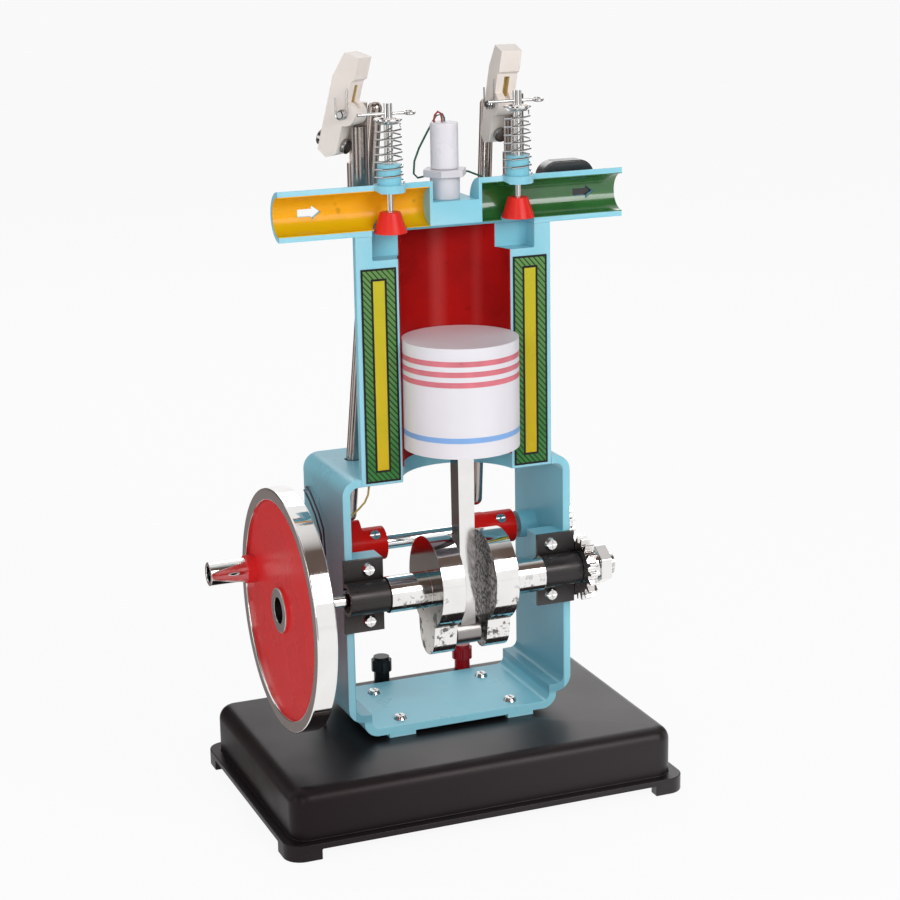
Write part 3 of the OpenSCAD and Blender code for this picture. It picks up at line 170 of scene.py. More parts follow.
def math_node(tree, operation, *values):
    made = node(tree, "ShaderNodeMath", operation=operation)
    for index, value in enumerate(values):
        if isinstance(value, (int, float)):
            made.inputs[index].default_value = value
        else:
            tree.links.new(value, made.inputs[index])
    return made.outputs[0]


def product(tree, first, *others):
    for other in others:
        first = math_node(tree, "MULTIPLY", first, other)
    return first


def distance_from(tree, value, centre):
    return math_node(tree, "ABSOLUTE", math_node(tree, "SUBTRACT", value, centre))


def radius_about(tree, y, z, centre):
    """Distance from a line through centre along the crankshaft."""
    across = math_node(tree, "POWER", math_node(tree, "SUBTRACT", y, centre.y), 2.0)
    along = math_node(tree, "POWER", math_node(tree, "SUBTRACT", z, centre.z), 2.0)
    return math_node(tree, "SQRT", math_node(tree, "ADD", across, along))


def ramp(tree, value, low, high, start=0.0, end=1.0):
    made = node(tree, "ShaderNodeMapRange")
    tree.links.new(value, made.inputs["Value"])
    for name, number in (("From Min", low), ("From Max", high), ("To Min", start), ("To Max", end)):
        made.inputs[name].default_value = number
    return made.outputs["Result"]


def place_on(tree):
    """Where a point of the surface is at rest, in the frame that all pieces share."""
    return node(tree, "ShaderNodeTexCoord").outputs["Object"]


def axes_of(tree, vector):
    parts = node(tree, "ShaderNodeSeparateXYZ")
    tree.links.new(vector, parts.inputs[0])
    return parts.outputs["X"], parts.outputs["Y"], parts.outputs["Z"]


def noise(tree, scale, detail=3.0, rough=0.55):
    made = node(tree, "ShaderNodeTexNoise")
    tree.links.new(place_on(tree), made.inputs["Vector"])
    made.inputs["Scale"].default_value = scale
    made.inputs["Detail"].default_value = detail
    made.inputs["Roughness"].default_value = rough
    return made.outputs["Fac"]


def mix_colour(tree, factor, a, b):
    made = node(tree, "ShaderNodeMix", data_type="RGBA")
    for index, value in zip(MIX_INPUTS, (factor, a, b)):
        if isinstance(value, bpy.types.NodeSocket):
            tree.links.new(value, made.inputs[index])
        else:
            made.inputs[index].default_value = (*value, 1.0)
    return made.outputs[MIX_RESULT]


def bump(tree, shader, height, strength, depth):
    made = node(tree, "ShaderNodeBump")
    made.inputs["Strength"].default_value = strength
    made.inputs["Distance"].default_value = depth
    tree.links.new(height, made.inputs["Height"])
    tree.links.new(made.outputs["Normal"], shader.inputs["Normal"])


def seen_rays(tree):
    """One for rays from the camera, from mirrors and through glass."""
    rays = node(tree, "ShaderNodeLightPath")
    through = math_node(tree, "MAXIMUM", rays.outputs["Is Glossy Ray"], rays.outputs["Is Transmission Ray"])
    return math_node(tree, "MAXIMUM", rays.outputs["Is Camera Ray"], through)


def blend_shaders(tree, factor, first, second, output):
    blend = node(tree, "ShaderNodeMixShader")
    for index, socket in enumerate((factor, first, second)):
        tree.links.new(socket, blend.inputs[index])
    tree.links.new(blend.outputs[0], tree.nodes[output].inputs["Surface"])


def new_group(name, outputs, inputs=()):
    """A shader node group with float sockets and its end node."""
    group = bpy.data.node_groups.new(name, "ShaderNodeTree")
    for label, default in inputs:
        socket = group.interface.new_socket(name=label, in_out="INPUT", socket_type="NodeSocketFloat")
        socket.default_value = default
    for label in outputs:
        group.interface.new_socket(name=label, in_out="OUTPUT", socket_type="NodeSocketFloat")
    return group, node(group, "NodeGroupOutput")


def surface_group():
    """Grain, mottle and specks of a coated surface, with a height for bump."""
    name = "Coated Surface"
    if name in bpy.data.node_groups:
        return bpy.data.node_groups[name]
    scales = (("Grain Scale", 900.0), ("Mottle Scale", 60.0), ("Speck Scale", 400.0))
    group, end = new_group(name, ("Mottle", "Specks", "Height"), scales)
    start = node(group, "NodeGroupInput")
    place = place_on(group)
    textures = {}
    for texture, detail in (("Grain", 2.0), ("Mottle", 4.0), ("Speck", 1.0)):
        made = node(group, "ShaderNodeTexNoise")
        group.links.new(place, made.inputs["Vector"])
        group.links.new(start.outputs[texture + " Scale"], made.inputs["Scale"])
        made.inputs["Detail"].default_value = detail
        textures[texture] = made.outputs["Fac"]
    grain_share, mottle_share = 0.35, 0.65
    height = math_node(group, "ADD", product(group, textures["Grain"], grain_share),
                       product(group, textures["Mottle"], mottle_share))
    group.links.new(ramp(group, textures["Mottle"], 0.3, 0.7), end.inputs["Mottle"])
    group.links.new(ramp(group, textures["Speck"], 0.70, 0.76), end.inputs["Specks"])
    group.links.new(height, end.inputs["Height"])
    return group


def edge_group():
    """Where a surface bends out or in, as a mask for a painted highlight on its edges and painted shade in
    its creases.
    """
    name = "Edge Wear"
    if name in bpy.data.node_groups:
        return bpy.data.node_groups[name]
    group, end = new_group(name, ("Edge", "Crease"))
    bend = node(group, "ShaderNodeNewGeometry").outputs["Pointiness"]
    group.links.new(ramp(group, bend, 0.52, 0.60), end.inputs["Edge"])
    group.links.new(ramp(group, bend, 0.48, 0.42), end.inputs["Crease"])
    return group


def facing_group():
    """Which way a surface faces along the crankshaft: -1 to the flywheel, 1 to the gears."""
    name = "Facing Along Shaft"
    if name in bpy.data.node_groups:
        return bpy.data.node_groups[name]
    group, end = new_group(name, ("Facing",))
    along, _, _ = axes_of(group, node(group, "ShaderNodeTexCoord").outputs["Normal"])
    group.links.new(along, end.inputs["Facing"])
    return group


def facing(tree):
    return node(tree, "ShaderNodeGroup", node_tree=facing_group()).outputs["Facing"]


def coated(name, colour, rough=0.3, rough_spread=0.08, metal=0.0, spec=0.5, coat=0.0, coat_rough=0.1,
           dark=0.12, light=0.1, edge_light=0.15, strength=0.05, depth=0.1 * MM,
           grain=900.0, mottle=60.0, speck=400.0, speck_dark=0.0, sub=0.0):
    """A coated or moulded finish: colour mottled, lightened at its edges as a painted highlight and darkened
    in its creases as painted shade, roughness and bump from the grain.
    """
    if name in bpy.data.materials:
        return bpy.data.materials[name]
    material = bpy.data.materials.new(name)
    material.use_nodes = True
    tree = material.node_tree
    shader = tree.nodes["Principled BSDF"]
    surface = node(tree, "ShaderNodeGroup", node_tree=surface_group())
    for label, scale in (("Grain Scale", grain), ("Mottle Scale", mottle), ("Speck Scale", speck)):
        surface.inputs[label].default_value = scale
    edge = node(tree, "ShaderNodeGroup", node_tree=edge_group())
    crease_shade_share, crease_shade, speck_shade = 0.35, 0.6, 0.35
    deep = tuple(c * (1.0 - dark) for c in colour)
    highlight_colour = tuple(c + (1.0 - c) * light for c in colour)
    base = mix_colour(tree, surface.outputs["Mottle"], deep, colour)
    # Edges are lightened towards the highlight colour as a painted highlight
    base = mix_colour(tree, product(tree, edge.outputs["Edge"], edge_light), base, highlight_colour)
    # Creases are darkened as painted shade
    base = mix_colour(tree, product(tree, edge.outputs["Crease"], crease_shade_share), base,
                      tuple(c * crease_shade for c in colour))
    if speck_dark:
        base = mix_colour(tree, product(tree, surface.outputs["Specks"], speck_dark), base,
                          tuple(c * speck_shade for c in colour))
    tree.links.new(base, shader.inputs["Base Color"])
    roughness = ramp(tree, surface.outputs["Mottle"], 0.0, 1.0, rough - rough_spread, rough + rough_spread)
    tree.links.new(roughness, shader.inputs["Roughness"])
    bump(tree, shader, surface.outputs["Height"], strength, depth)
    for label, value in (("Metallic", metal), ("Coat Weight", coat), ("Coat Roughness", coat_rough),
                         ("Specular IOR Level", spec), ("Subsurface Weight", sub)):
        shader.inputs[label].default_value = value
    if sub:
        shader.inputs["Subsurface Radius"].default_value = (1.0, 0.8, 0.8)
        shader.inputs["Subsurface Scale"].default_value = 3 * MM
    material.diffuse_color = (*colour, 1.0)
    return material


def overlay(material, mask_of, colour, rough, metal=0.0, share=1.0):
    """Lays a second finish over a material where mask_of, a function of tree, x, y and z, is one."""
    tree = material.node_tree
    shader = tree.nodes["Principled BSDF"]
    mask = mask_of(tree, *axes_of(tree, place_on(tree)))
    if share < 1.0:
        mask = product(tree, mask, share)
    base = shader.inputs["Base Color"].links[0].from_socket
    tree.links.new(mix_colour(tree, mask, base, colour), shader.inputs["Base Color"])
    for label, value in (("Roughness", rough), ("Metallic", metal)):
        socket = shader.inputs[label]
        old = socket.links[0].from_socket if socket.is_linked else socket.default_value
        kept = product(tree, math_node(tree, "SUBTRACT", 1.0, mask), old)
        tree.links.new(math_node(tree, "ADD", kept, product(tree, mask, value)), socket)
    return material


def tone(name, share=1.0):
    """A colour from the settings, darkened to a share of itself."""
    return tuple(c * share for c in getattr(bpy.context.scene.engine_finish, name))


def plated(name, colour, rough, rough_spread, strength, mottle, dark):
    return coated(name, colour, rough=rough, rough_spread=rough_spread, metal=1.0, dark=dark, light=0.3,
                  edge_light=0.3, strength=strength, depth=0.12 * MM, grain=1400.0, mottle=mottle)


def chrome(name="Chrome Plate", share=1.0, rough=0.07, rough_spread=0.05, strength=0.12, mottle=55.0):
    return plated(name, tone("chrome", share), rough, rough_spread, strength, mottle, dark=0.10)


def screw_chrome():
    return chrome("Plated Screw", share=0.85, rough=0.2, rough_spread=0.08)


def post_chrome():
    """Chrome of the rocker posts and pushrods, darkened and tinted brown as a painted reflection."""
    # The brown tone is a painted reflection
    return plated("Post Chrome", (0.46, 0.40, 0.37), rough=0.2, rough_spread=0.06, strength=0.1, mottle=40.0,
                  dark=0.15)


# Pieces made from CAD nodes

def softened(name, source, width, material, steps=2, angle=FINE_ANGLE):
    """A copy of a CAD node with its sharp edges rounded, standing for that node."""
    seam, flat = 0.002 * MM, 0.4
    mesh = NODES[source].data.copy()
    mesh.name = name
    work = bmesh.new()
    work.from_mesh(mesh)
    bmesh.ops.remove_doubles(work, verts=work.verts, dist=seam)
    bmesh.ops.dissolve_limit(work, angle_limit=math.radians(flat), verts=work.verts, edges=work.edges)
    for face in work.faces:
        face.smooth = True
    work.to_mesh(mesh)
    work.free()
    if mesh.has_custom_normals:
        mesh.attributes.remove(mesh.attributes["custom_normal"])
    mesh.set_sharp_from_angle(angle=math.radians(angle))
    piece = stand_in(name, mesh, source, material)
    bevel = piece.modifiers.new("Rounded Edges", "BEVEL")
    bevel.width = width
    bevel.segments = steps
    bevel.limit_method = "ANGLE"
    bevel.angle_limit = math.radians(angle)
    bevel.miter_outer = "MITER_ARC"
    bevel.harden_normals = True


def stand_in(name, mesh, source, material):
    """A piece that takes a CAD node's place, body and material slot."""
    piece = bpy.data.objects.new(name, mesh)
    bpy.context.scene.collection.objects.link(piece)
    mesh.materials.clear()
    mesh.materials.append(material)
    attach(piece, NODES[source]["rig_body"])
    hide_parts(source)
    return piece


def dress(names, material, rounded=False):
    """Gives CAD nodes a finish, shaded smooth where they are round."""
    for name in names:
        mesh = NODES[name].data
        mesh.materials.clear()
        mesh.materials.append(material)
        if rounded:
            smooth(mesh)


def smooth(mesh):
    for polygon in mesh.polygons:
        polygon.use_smooth = True


# The stage and the pieces

class ENGINE_OT_stage(bpy.types.Operator):
    """Camera, floor and soft lights at the photograph's view"""
    bl_idname = "engine.stage"
    bl_label = "Stage"

    sensor = 36.0
    floor_half = 14.0
    floor_drop = 0.4 * MM
    sky_strength = 0.36
    # Name, place, width and power of each lamp
    lamps = (("Key", (0.45, -1.35, 1.0), 0.9, 11.2), ("Left", (-1.35, 0.1, 0.45), 0.7, 1.5),
             ("Fill", (-0.9, -1.2, 0.6), 0.8, 6.5), ("Back", (0.3, 1.2, 1.1), 1.0, 4.0))
    # Turn, spread and shade of each dark flag that the chrome mirrors
    flags = ((115.0, 40.0, 0.18), (168.0, 16.0, 0.05), (215.0, 26.0, 0.06), (252.0, 22.0, 0.10),
             (330.0, 30.0, 0.07), (20.0, 30.0, 0.09))
    flag_distance = 0.62
    flag_height = 0.55
    flag_tint = (1.0, 0.86, 0.80)
    # Left and right end, near and far end, and shade of the strip on the ground beside the wheel
    strip_x = (-0.60, -0.11)
    strip_y = (0.02, 0.62)
    strip_shade = 0.36

    def execute(self, context):
        view = context.scene.engine_stage
        target = Vector(view.target)
        self.camera(context, view, target)
        context.scene.view_settings.view_transform = "Standard"
        self.floor(context, view)
        self.world(context)
        self.lights(context, target)
        self.mirrored_cards(context)
        return {"FINISHED"}

    def camera(self, context, view, target):
        level = math.cos(view.rise)
        back = Vector((math.sin(view.turn) * level, -math.cos(view.turn) * level, math.sin(view.rise)))
        right = Vector((math.cos(view.turn), math.sin(view.turn), 0.0))
        up = back.cross(right)
        turned_right = right * math.cos(view.roll) + up * math.sin(view.roll)
        turned_up = up * math.cos(view.roll) - right * math.sin(view.roll)
        lens = bpy.data.cameras.new("Camera")
        lens.lens = view.lens
        lens.sensor_width = self.sensor
        lens.clip_end = 60.0
        camera = bpy.data.objects.new("Camera", lens)
        context.scene.collection.objects.link(camera)
        place = Matrix((turned_right, turned_up, back)).transposed().to_4x4()
        place.translation = target + back * view.distance
        camera.matrix_world = place
        context.scene.camera = camera

    def floor(self, context, view):
        """A pale floor that the camera sees as nearly white, with the model's shadow on it."""
        half = self.floor_half
        mesh = bpy.data.meshes.new("Floor")
        corners = [(-half, -half, 0), (half, -half, 0), (half, half, 0), (-half, half, 0)]
        mesh.from_pydata(corners, [], [(0, 1, 2, 3)])
        floor = bpy.data.objects.new("Floor", mesh)
        context.scene.collection.objects.link(floor)
        floor.location.z = -self.floor_drop
        material = bpy.data.materials.new("Floor")
        material.use_nodes = True
        tree = material.node_tree
        shader = tree.nodes["Principled BSDF"]
        shader.inputs["Base Color"].default_value = (*view.floor, 1.0)
        shader.inputs["Roughness"].default_value = 0.7
        shader.inputs["Specular IOR Level"].default_value = 0.2
        glow = node(tree, "ShaderNodeEmission")
        glow.inputs["Color"].default_value = (1.0, 1.0, 1.0, 1.0)
        glow_share = 0.92
        blend_shaders(tree, product(tree, seen_rays(tree), glow_share), shader.outputs[0], glow.outputs[0],
                      "Material Output")
        mesh.materials.append(material)

    def world(self, context):
        """A dim sky that lights the model, and a white one to look at with a dark patch for mirrors."""
        world = bpy.data.worlds.new("Studio")
        context.scene.world = world
        world.use_nodes = True
        tree = world.node_tree
        sky = tree.nodes["Background"]
        sky.inputs["Color"].default_value = (0.92, 0.95, 1.0, 1.0)
        sky.inputs["Strength"].default_value = self.sky_strength
        white = node(tree, "ShaderNodeBackground")
        white.inputs["Strength"].default_value = 1.0
        _, y, z = axes_of(tree, node(tree, "ShaderNodeTexCoord").outputs["Generated"])
        over = ramp(tree, z, 0.34, 0.50)
        under = ramp(tree, z, 0.98, 0.90)
        front = ramp(tree, y, 0.30, -0.05)
        mirrors = node(tree, "ShaderNodeLightPath").outputs["Is Glossy Ray"]
        patch = product(tree, over, under, front, mirrors)
        tree.links.new(mix_colour(tree, patch, (1.0, 1.0, 1.0), (0.13, 0.095, 0.08)), white.inputs["Color"])
        blend_shaders(tree, seen_rays(tree), sky.outputs[0], white.outputs[0], "World Output")

    def lights(self, context, target):
        height_share = 0.8
        for name, place, size, power in self.lamps:
            light = bpy.data.lights.new(name, "AREA")
            light.shape = "RECTANGLE"
            light.size = size
            light.size_y = size * height_share
            light.energy = power
            lamp = bpy.data.objects.new(name, light)
            context.scene.collection.objects.link(lamp)
            lamp.location = place
            lamp.rotation_euler = (Vector(place) - target).to_track_quat("Z", "Y").to_euler()

    def mirrored_cards(self, context):
        """Bent dark flags around the model, and a grey strip on the ground beside the wheel."""
        for turn, spread, shade in self.flags:
            turns = [math.radians(turn + spread * share) for share in (-0.5, 0.0, 0.5)]
            row = [(self.flag_distance * math.cos(t), self.flag_distance * math.sin(t)) for t in turns]
            rows = [[(x, y, z) for x, y in row] for z in (0.0, self.flag_height)]
            self.card(context, "Flag %d" % turn, rows, shade)
        rows = [[(x, y, 0.0) for x in self.strip_x] for y in self.strip_y]
        self.card(context, "Ground Strip", rows, self.strip_shade)

    def card(self, context, name, rows, shade):
        """A dark card between two rows of points that only mirrors see."""
        last = len(rows[0])
        faces = [(k, k + 1, last + k + 1, last + k) for k in range(last - 1)]
        mesh = bpy.data.meshes.new(name)
        mesh.from_pydata([point for row in rows for point in row], [], faces)
        card = bpy.data.objects.new(name, mesh)
        context.scene.collection.objects.link(card)
        card.visible_camera = False
        card.visible_diffuse = False
        card.visible_shadow = False
        material = bpy.data.materials.new(name)
        material.use_nodes = True
        shader = material.node_tree.nodes["Principled BSDF"]
        shader.inputs["Base Color"].default_value = (*(shade * part for part in self.flag_tint), 1.0)
        shader.inputs["Roughness"].default_value = 0.9
        shader.inputs["Specular IOR Level"].default_value = 0.0
        mesh.materials.append(material)


class ENGINE_OT_plinth(bpy.types.Operator):
    """Charcoal plinth with its flange and corner feet"""
    bl_idname = "engine.plinth"
    bl_label = "Plinth"

    def execute(self, context):
        plastic = coated("Charcoal Plastic", tone("plinth"), rough=0.38, rough_spread=0.07, spec=0.16,
                         coat_rough=0.38, dark=0.25, light=0.06, edge_light=0.25, strength=0.25,
                         depth=0.12 * MM, grain=2600.0, mottle=20.0, speck=700.0)
        tree = plastic.node_tree
        shader = tree.nodes["Principled BSDF"]
        low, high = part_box("base_plinth")
        gloss_at_gears = 0.66
        x, _, _ = axes_of(tree, place_on(tree))
        tree.links.new(ramp(tree, x, low.x, high.x, 0.0, gloss_at_gears), shader.inputs["Coat Weight"])
        shader.inputs["Specular Tint"].default_value = (1.0, 0.76, 0.80, 1.0)
        edge = context.scene.engine_shape.small_edge * 2
        softened("plinth_shell", "base_plinth", edge, plastic, angle=CASTING_ANGLE)
        return {"FINISHED"}


class ENGINE_OT_castings(bpy.types.Operator):
    """Crankcase frame, cylinder and head in pale blue enamel"""
    bl_idname = "engine.castings"
    bl_label = "Castings"

    def execute(self, context):
        shape = context.scene.engine_shape
        enamel = coated("Blue Enamel", tone("casting"), rough=0.34, spec=0.32, dark=0.08, light=0.35,
                        edge_light=0.5, strength=0.06, depth=0.2 * MM, grain=700.0, mottle=30.0,
                        speck=260.0, speck_dark=0.10)
        # The inside of the crankcase is darkened with painted shade
        overlay(enamel, self.inner_wall_shade, (0.10, 0.30, 0.385), rough=0.34, share=0.62)
        for source in ("crankcase_frame", "cylinder_block", "cylinder_head"):
            softened(source + "_casting", source, shape.casting_edge, enamel, shape.edge_steps, CASTING_ANGLE)
        return {"FINISHED"}

    def inner_wall_shade(self, tree, x, y, z):
        """Painted shade on the inside of the crankcase, deepest near its floor."""
        low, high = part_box("crankcase_frame")
        wall, floor_from, floor_to = 3.5 * MM, 9 * MM, 11 * MM
        faint, faint_at, full_at = 0.15, 0.85, 0.30
        height = high.z - low.z
        inside = math_node(tree, "LESS_THAN", distance_from(tree, x, (low.x + high.x) / 2),
                           (high.x - low.x) / 2 - wall)
        over = ramp(tree, z, low.z + floor_from, low.z + floor_to)
        under = ramp(tree, z, low.z + height * faint_at, low.z + height * full_at, faint, 1.0)
        return product(tree, inside, over, under)


class ENGINE_OT_linings(bpy.types.Operator):
    """Painted linings of the bore and the two pipes"""
    bl_idname = "engine.linings"
    bl_label = "Linings"

    def execute(self, context):
        red = coated("Bore Enamel", tone("bore"), rough=0.30, spec=0.025, dark=0.35, light=0.06,
                     edge_light=0.1, strength=0.10, depth=0.3 * MM, grain=300.0, mottle=45.0,
                     speck=220.0, speck_dark=0.3)
        # Paler streaks down the bore are painted highlights
        overlay(red, self.streaks, (0.60, 0.11, 0.10), rough=0.3, share=0.26)
        yellow = coated("Intake Enamel", tone("intake"), rough=0.26, spec=0.08, coat=0.16, coat_rough=0.15,
                        dark=0.14, edge_light=0.1, strength=0.15, depth=0.3 * MM, grain=400.0,
                        mottle=70.0, speck=180.0, speck_dark=0.4)
        overlay(yellow, self.underside, (0.62, 0.42, 0.002), rough=0.3, share=0.75)
        green = coated("Exhaust Enamel", tone("exhaust"), rough=0.2, coat=0.8, coat_rough=0.08, dark=0.35,
                       light=0.08, edge_light=0.1, strength=0.12, depth=0.3 * MM, grain=400.0,
                       speck=200.0, speck_dark=0.3)
        dress(["cylinder_lining"], red)
        dress(["intake_lining"], yellow)
        dress(["exhaust_lining"], green)
        cover = coated("Dark Plate", (0.018, 0.0145, 0.014), rough=0.25, coat=0.45, coat_rough=0.06, dark=0.2,
                       light=0.2, strength=0.1, mottle=55.0)
        edge = context.scene.engine_shape.turned_edge * 2
        softened("arrow_cover_plate", "arrow_cover", edge, cover, steps=3)
        return {"FINISHED"}

    def streaks(self, tree, x, y, z):
        """Two paler streaks down the bore, painted highlights."""
        low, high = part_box("cylinder_lining")
        middle, half = (low.x + high.x) / 2, (high.x - low.x) / 2
        # Place and width of each painted highlight streak as shares of the bore's half width, and its level
        streaks = ((0.0, 0.20, 1.0), (0.63, 0.10, 0.5))
        bands = []
        for place, width, level in streaks:
            side = math_node(tree, "SUBTRACT", x, middle + half * place)
            off = math_node(tree, "ABSOLUTE", math_node(tree, "DIVIDE", side, half * width))
            bands.append(ramp(tree, off, 0.2, 1.0, level, 0.0))
        return math_node(tree, "MAXIMUM", *bands)

    def underside(self, tree, x, y, z):
        """The olive lower part of the intake pipe."""
        low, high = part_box("intake_lining")
        middle, half = (low.z + high.z) / 2, (high.z - low.z) / 2
        starts, full = 0.30, 0.55
        return ramp(tree, z, middle - half * starts, middle - half * full)


class ENGINE_OT_labels(bpy.types.Operator):
    """Hatched labels that show the cooling jacket"""
    bl_idname = "engine.labels"
    bl_label = "Jacket Labels"

    def execute(self, context):
        for side in ("left", "right"):
            name = "jacket_label_" + side
            dress([name], self.printed_film("Jacket Label " + side.title(), *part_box(name)))
        return {"FINISHED"}

    def printed_film(self, name, low, high):
        """Black borders, a diagonal hatch on green, and a yellow strip in the middle."""
        border, hatched, ruled = 1.0 * MM, 4.9 * MM, 6.0 * MM
        black, line_black, ink_share = (0.012, 0.011, 0.010), (0.006, 0.016, 0.006), 0.88
        material = bpy.data.materials.new(name)
        material.use_nodes = True
        tree = material.node_tree
        shader = tree.nodes["Principled BSDF"]
        x, _, z = axes_of(tree, place_on(tree))
        inset = self.inset(tree, ((x, low.x, 1), (x, high.x, -1), (z, low.z, 1), (z, high.z, -1)))
        fade = ramp(tree, z, low.z, high.z)
        blot = noise(tree, 60.0)
        green = mix_colour(tree, fade, (0.022, 0.17, 0.030), (0.13, 0.28, 0.075))
        green = mix_colour(tree, ramp(tree, blot, 0.35, 0.7, 0.0, 0.35), green, (0.12, 0.30, 0.10))
        colour = mix_colour(tree, product(tree, self.hatch(tree, x, z), ink_share), green, line_black)
        yellow = mix_colour(tree, fade, (0.62, 0.42, 0.006), (0.56, 0.50, 0.025))
        yellow = mix_colour(tree, ramp(tree, blot, 0.3, 0.7, 0.0, 0.3), yellow, (0.42, 0.38, 0.01))
        for edge, shade in ((hatched, black), (ruled, yellow)):
            colour = mix_colour(tree, math_node(tree, "GREATER_THAN", inset, edge), colour, shade)
        colour = mix_colour(tree, math_node(tree, "LESS_THAN", inset, border), colour, black)
        tree.links.new(colour, shader.inputs["Base Color"])
        tree.links.new(ramp(tree, blot, 0.3, 0.7, 0.16, 0.3), shader.inputs["Roughness"])
        shader.inputs["Specular IOR Level"].default_value = 0.2
        bump(tree, shader, noise(tree, 240.0), strength=0.15, depth=0.1 * MM)
        return material

    def inset(self, tree, edges):
        """Distance in from the nearest edge of the label."""
        nearest = None
        for value, edge, sign in edges:
            step = product(tree, math_node(tree, "SUBTRACT", value, edge), sign)
            nearest = step if nearest is None else math_node(tree, "MINIMUM", nearest, step)
        return nearest

    def hatch(self, tree, x, z):
        """Diagonal lines at the spacing of the settings."""
        slope, spacing = 1.15, bpy.context.scene.engine_finish.hatch
        across = math_node(tree, "ADD", product(tree, x, slope), z)
        line = math_node(tree, "FRACT", math_node(tree, "DIVIDE", across, spacing))
        return ramp(tree, distance_from(tree, line, 0.5), 0.12, 0.20, 1.0, 0.0)


class ENGINE_OT_flywheel(bpy.types.Operator):
    """Flywheel with its chrome rim, red disc, hub and crank handle"""
    bl_idname = "engine.flywheel"
    bl_label = "Flywheel"

    def execute(self, context):
        shape = context.scene.engine_shape
        plate = chrome()
        turned = chrome("Turned Face", share=0.8, rough=0.3, rough_spread=0.08)
        overlay(turned, self.hub_sides, tone("wheel"), rough=0.3)
        overlay(turned, self.hub_socket, (0.10, 0.085, 0.08), rough=0.35, metal=1.0)
        red = coated("Wheel Enamel", tone("wheel"), rough=0.30, spec=0.10, dark=0.10, light=0.05,
                     edge_light=0.1, strength=0.08, depth=0.3 * MM, grain=500.0, mottle=30.0)
        softened("rim_chrome", "flywheel_rim", shape.turned_edge * 2, plate, steps=3)
        softened("hub_chrome", "flywheel_hub", shape.turned_edge, turned)
        softened("handle_chrome", "crank_handle", shape.turned_edge, plate)
        softened("disc_enamel", "flywheel_disc", shape.small_edge, red)
        return {"FINISHED"}

    def hub_sides(self, tree, x, y, z):
        low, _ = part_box("flywheel_hub")
        face = 0.7 * MM
        return math_node(tree, "GREATER_THAN", x, low.x + face)

    def hub_socket(self, tree, x, y, z):
        """The dark hexagon socket in the hub's end."""
        low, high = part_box("flywheel_hub")
        face, socket_share = 0.2 * MM, 0.34
        near = math_node(tree, "LESS_THAN", radius_about(tree, y, z, CRANK), (high.z - low.z) * socket_share)
        return product(tree, near, math_node(tree, "GREATER_THAN", x, low.x + face))


class ENGINE_OT_crank(bpy.types.Operator):
    """Crankshaft, gears, nut and pins in chrome"""
    bl_idname = "engine.crank"
    bl_label = "Crank and Gears"

    # From an end of the crank pin into the web beside it
    web_gap = 1 * MM

    def execute(self, context):
        shape = context.scene.engine_shape
        plate = chrome()
        webs = chrome("Crank Chrome", rough=0.08, rough_spread=0.06, strength=0.25, mottle=70.0)
        # The web's face towards the flywheel is darkened with painted shade
        overlay(webs, self.outer_face_shade, (0.44, 0.42, 0.39), rough=0.12, metal=1.0)
        overlay(webs, self.pits, (0.07, 0.06, 0.055), rough=0.4, metal=1.0, share=0.85)
        overlay(webs, self.cast_faces, (0.40, 0.37, 0.36), rough=0.30, metal=1.0)
        overlay(webs, self.hammered, (0.06, 0.055, 0.052), rough=0.38, metal=1.0)
        softened("crankshaft_chrome", "crankshaft", shape.turned_edge, webs)
        softened("crank_nut_chrome", "crank_nut", shape.turned_edge, plate)
        tooth_edge = shape.small_edge * 0.6
        for source, centre in (("crank_gear", CRANK), ("cam_gear", CAM)):
            softened(source + "_chrome", source, tooth_edge, self.gear_chrome(source, centre), steps=1)
        dress(["camshaft", "crank_pin", "wrist_pin"], plate)
        return {"FINISHED"}

    def outer_face_shade(self, tree, x, y, z):
        """Painted shade on the web's face towards the flywheel."""
        low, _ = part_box("crank_pin")
        outer = math_node(tree, "LESS_THAN", x, low.x - self.web_gap)
        return product(tree, ramp(tree, facing(tree), -0.6, -0.8), outer)

    def pits(self, tree, x, y, z):
        """Flaked plating low on the crank."""
        reach = 6 * MM
        spots = ramp(tree, noise(tree, 190.0, 5.0, 0.6), 0.545, 0.60)
        return product(tree, spots, ramp(tree, z, CRANK.z + reach, CRANK.z - reach))

    def cast_faces(self, tree, x, y, z):
        """The webs' faces beside the rod."""
        low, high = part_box("crank_pin")
        side = math_node(tree, "GREATER_THAN", math_node(tree, "ABSOLUTE", facing(tree)), 0.8)
        off = distance_from(tree, x, (low.x + high.x) / 2)
        reach = (high.x - low.x) / 2 + self.web_gap
        return product(tree, side, math_node(tree, "LESS_THAN", off, reach))

    def hammered(self, tree, x, y, z):
        """The dents in those faces."""
        return product(tree, self.cast_faces(tree, x, y, z), ramp(tree, noise(tree, 700.0, 2.0), 0.42, 0.58))

    def gear_chrome(self, source, centre):
        """Chrome with the rings of the lathe on the gear's outer face."""
        finish = chrome(source.replace("_", " ").title() + " Chrome")
        pitch = 1.1 * MM

        def turned(tree, x, y, z):
            turns = math_node(tree, "DIVIDE", radius_about(tree, y, z, centre), pitch)
            ring = math_node(tree, "FRACT", turns)
            rings = ramp(tree, distance_from(tree, ring, 0.5), 0.1, 0.5, 0.6, 1.0)
            return product(tree, ramp(tree, facing(tree), 0.6, 0.8), rings)

        return overlay(finish, turned, (0.42, 0.41, 0.40), rough=0.30, metal=1.0)


class ENGINE_OT_cams(bpy.types.Operator):
    """Red cams and their set screws"""
    bl_idname = "engine.cams"
    bl_label = "Cams"

    def execute(self, context):
        red = coated("Cam Enamel", tone("cams"), rough=0.24, spec=0.05, strength=0.08, depth=0.2 * MM)
        for source in ("intake_cam", "exhaust_cam"):
            softened(source + "_enamel", source, context.scene.engine_shape.turned_edge, red)
        dress(["cam_screws"], screw_chrome())
        return {"FINISHED"}


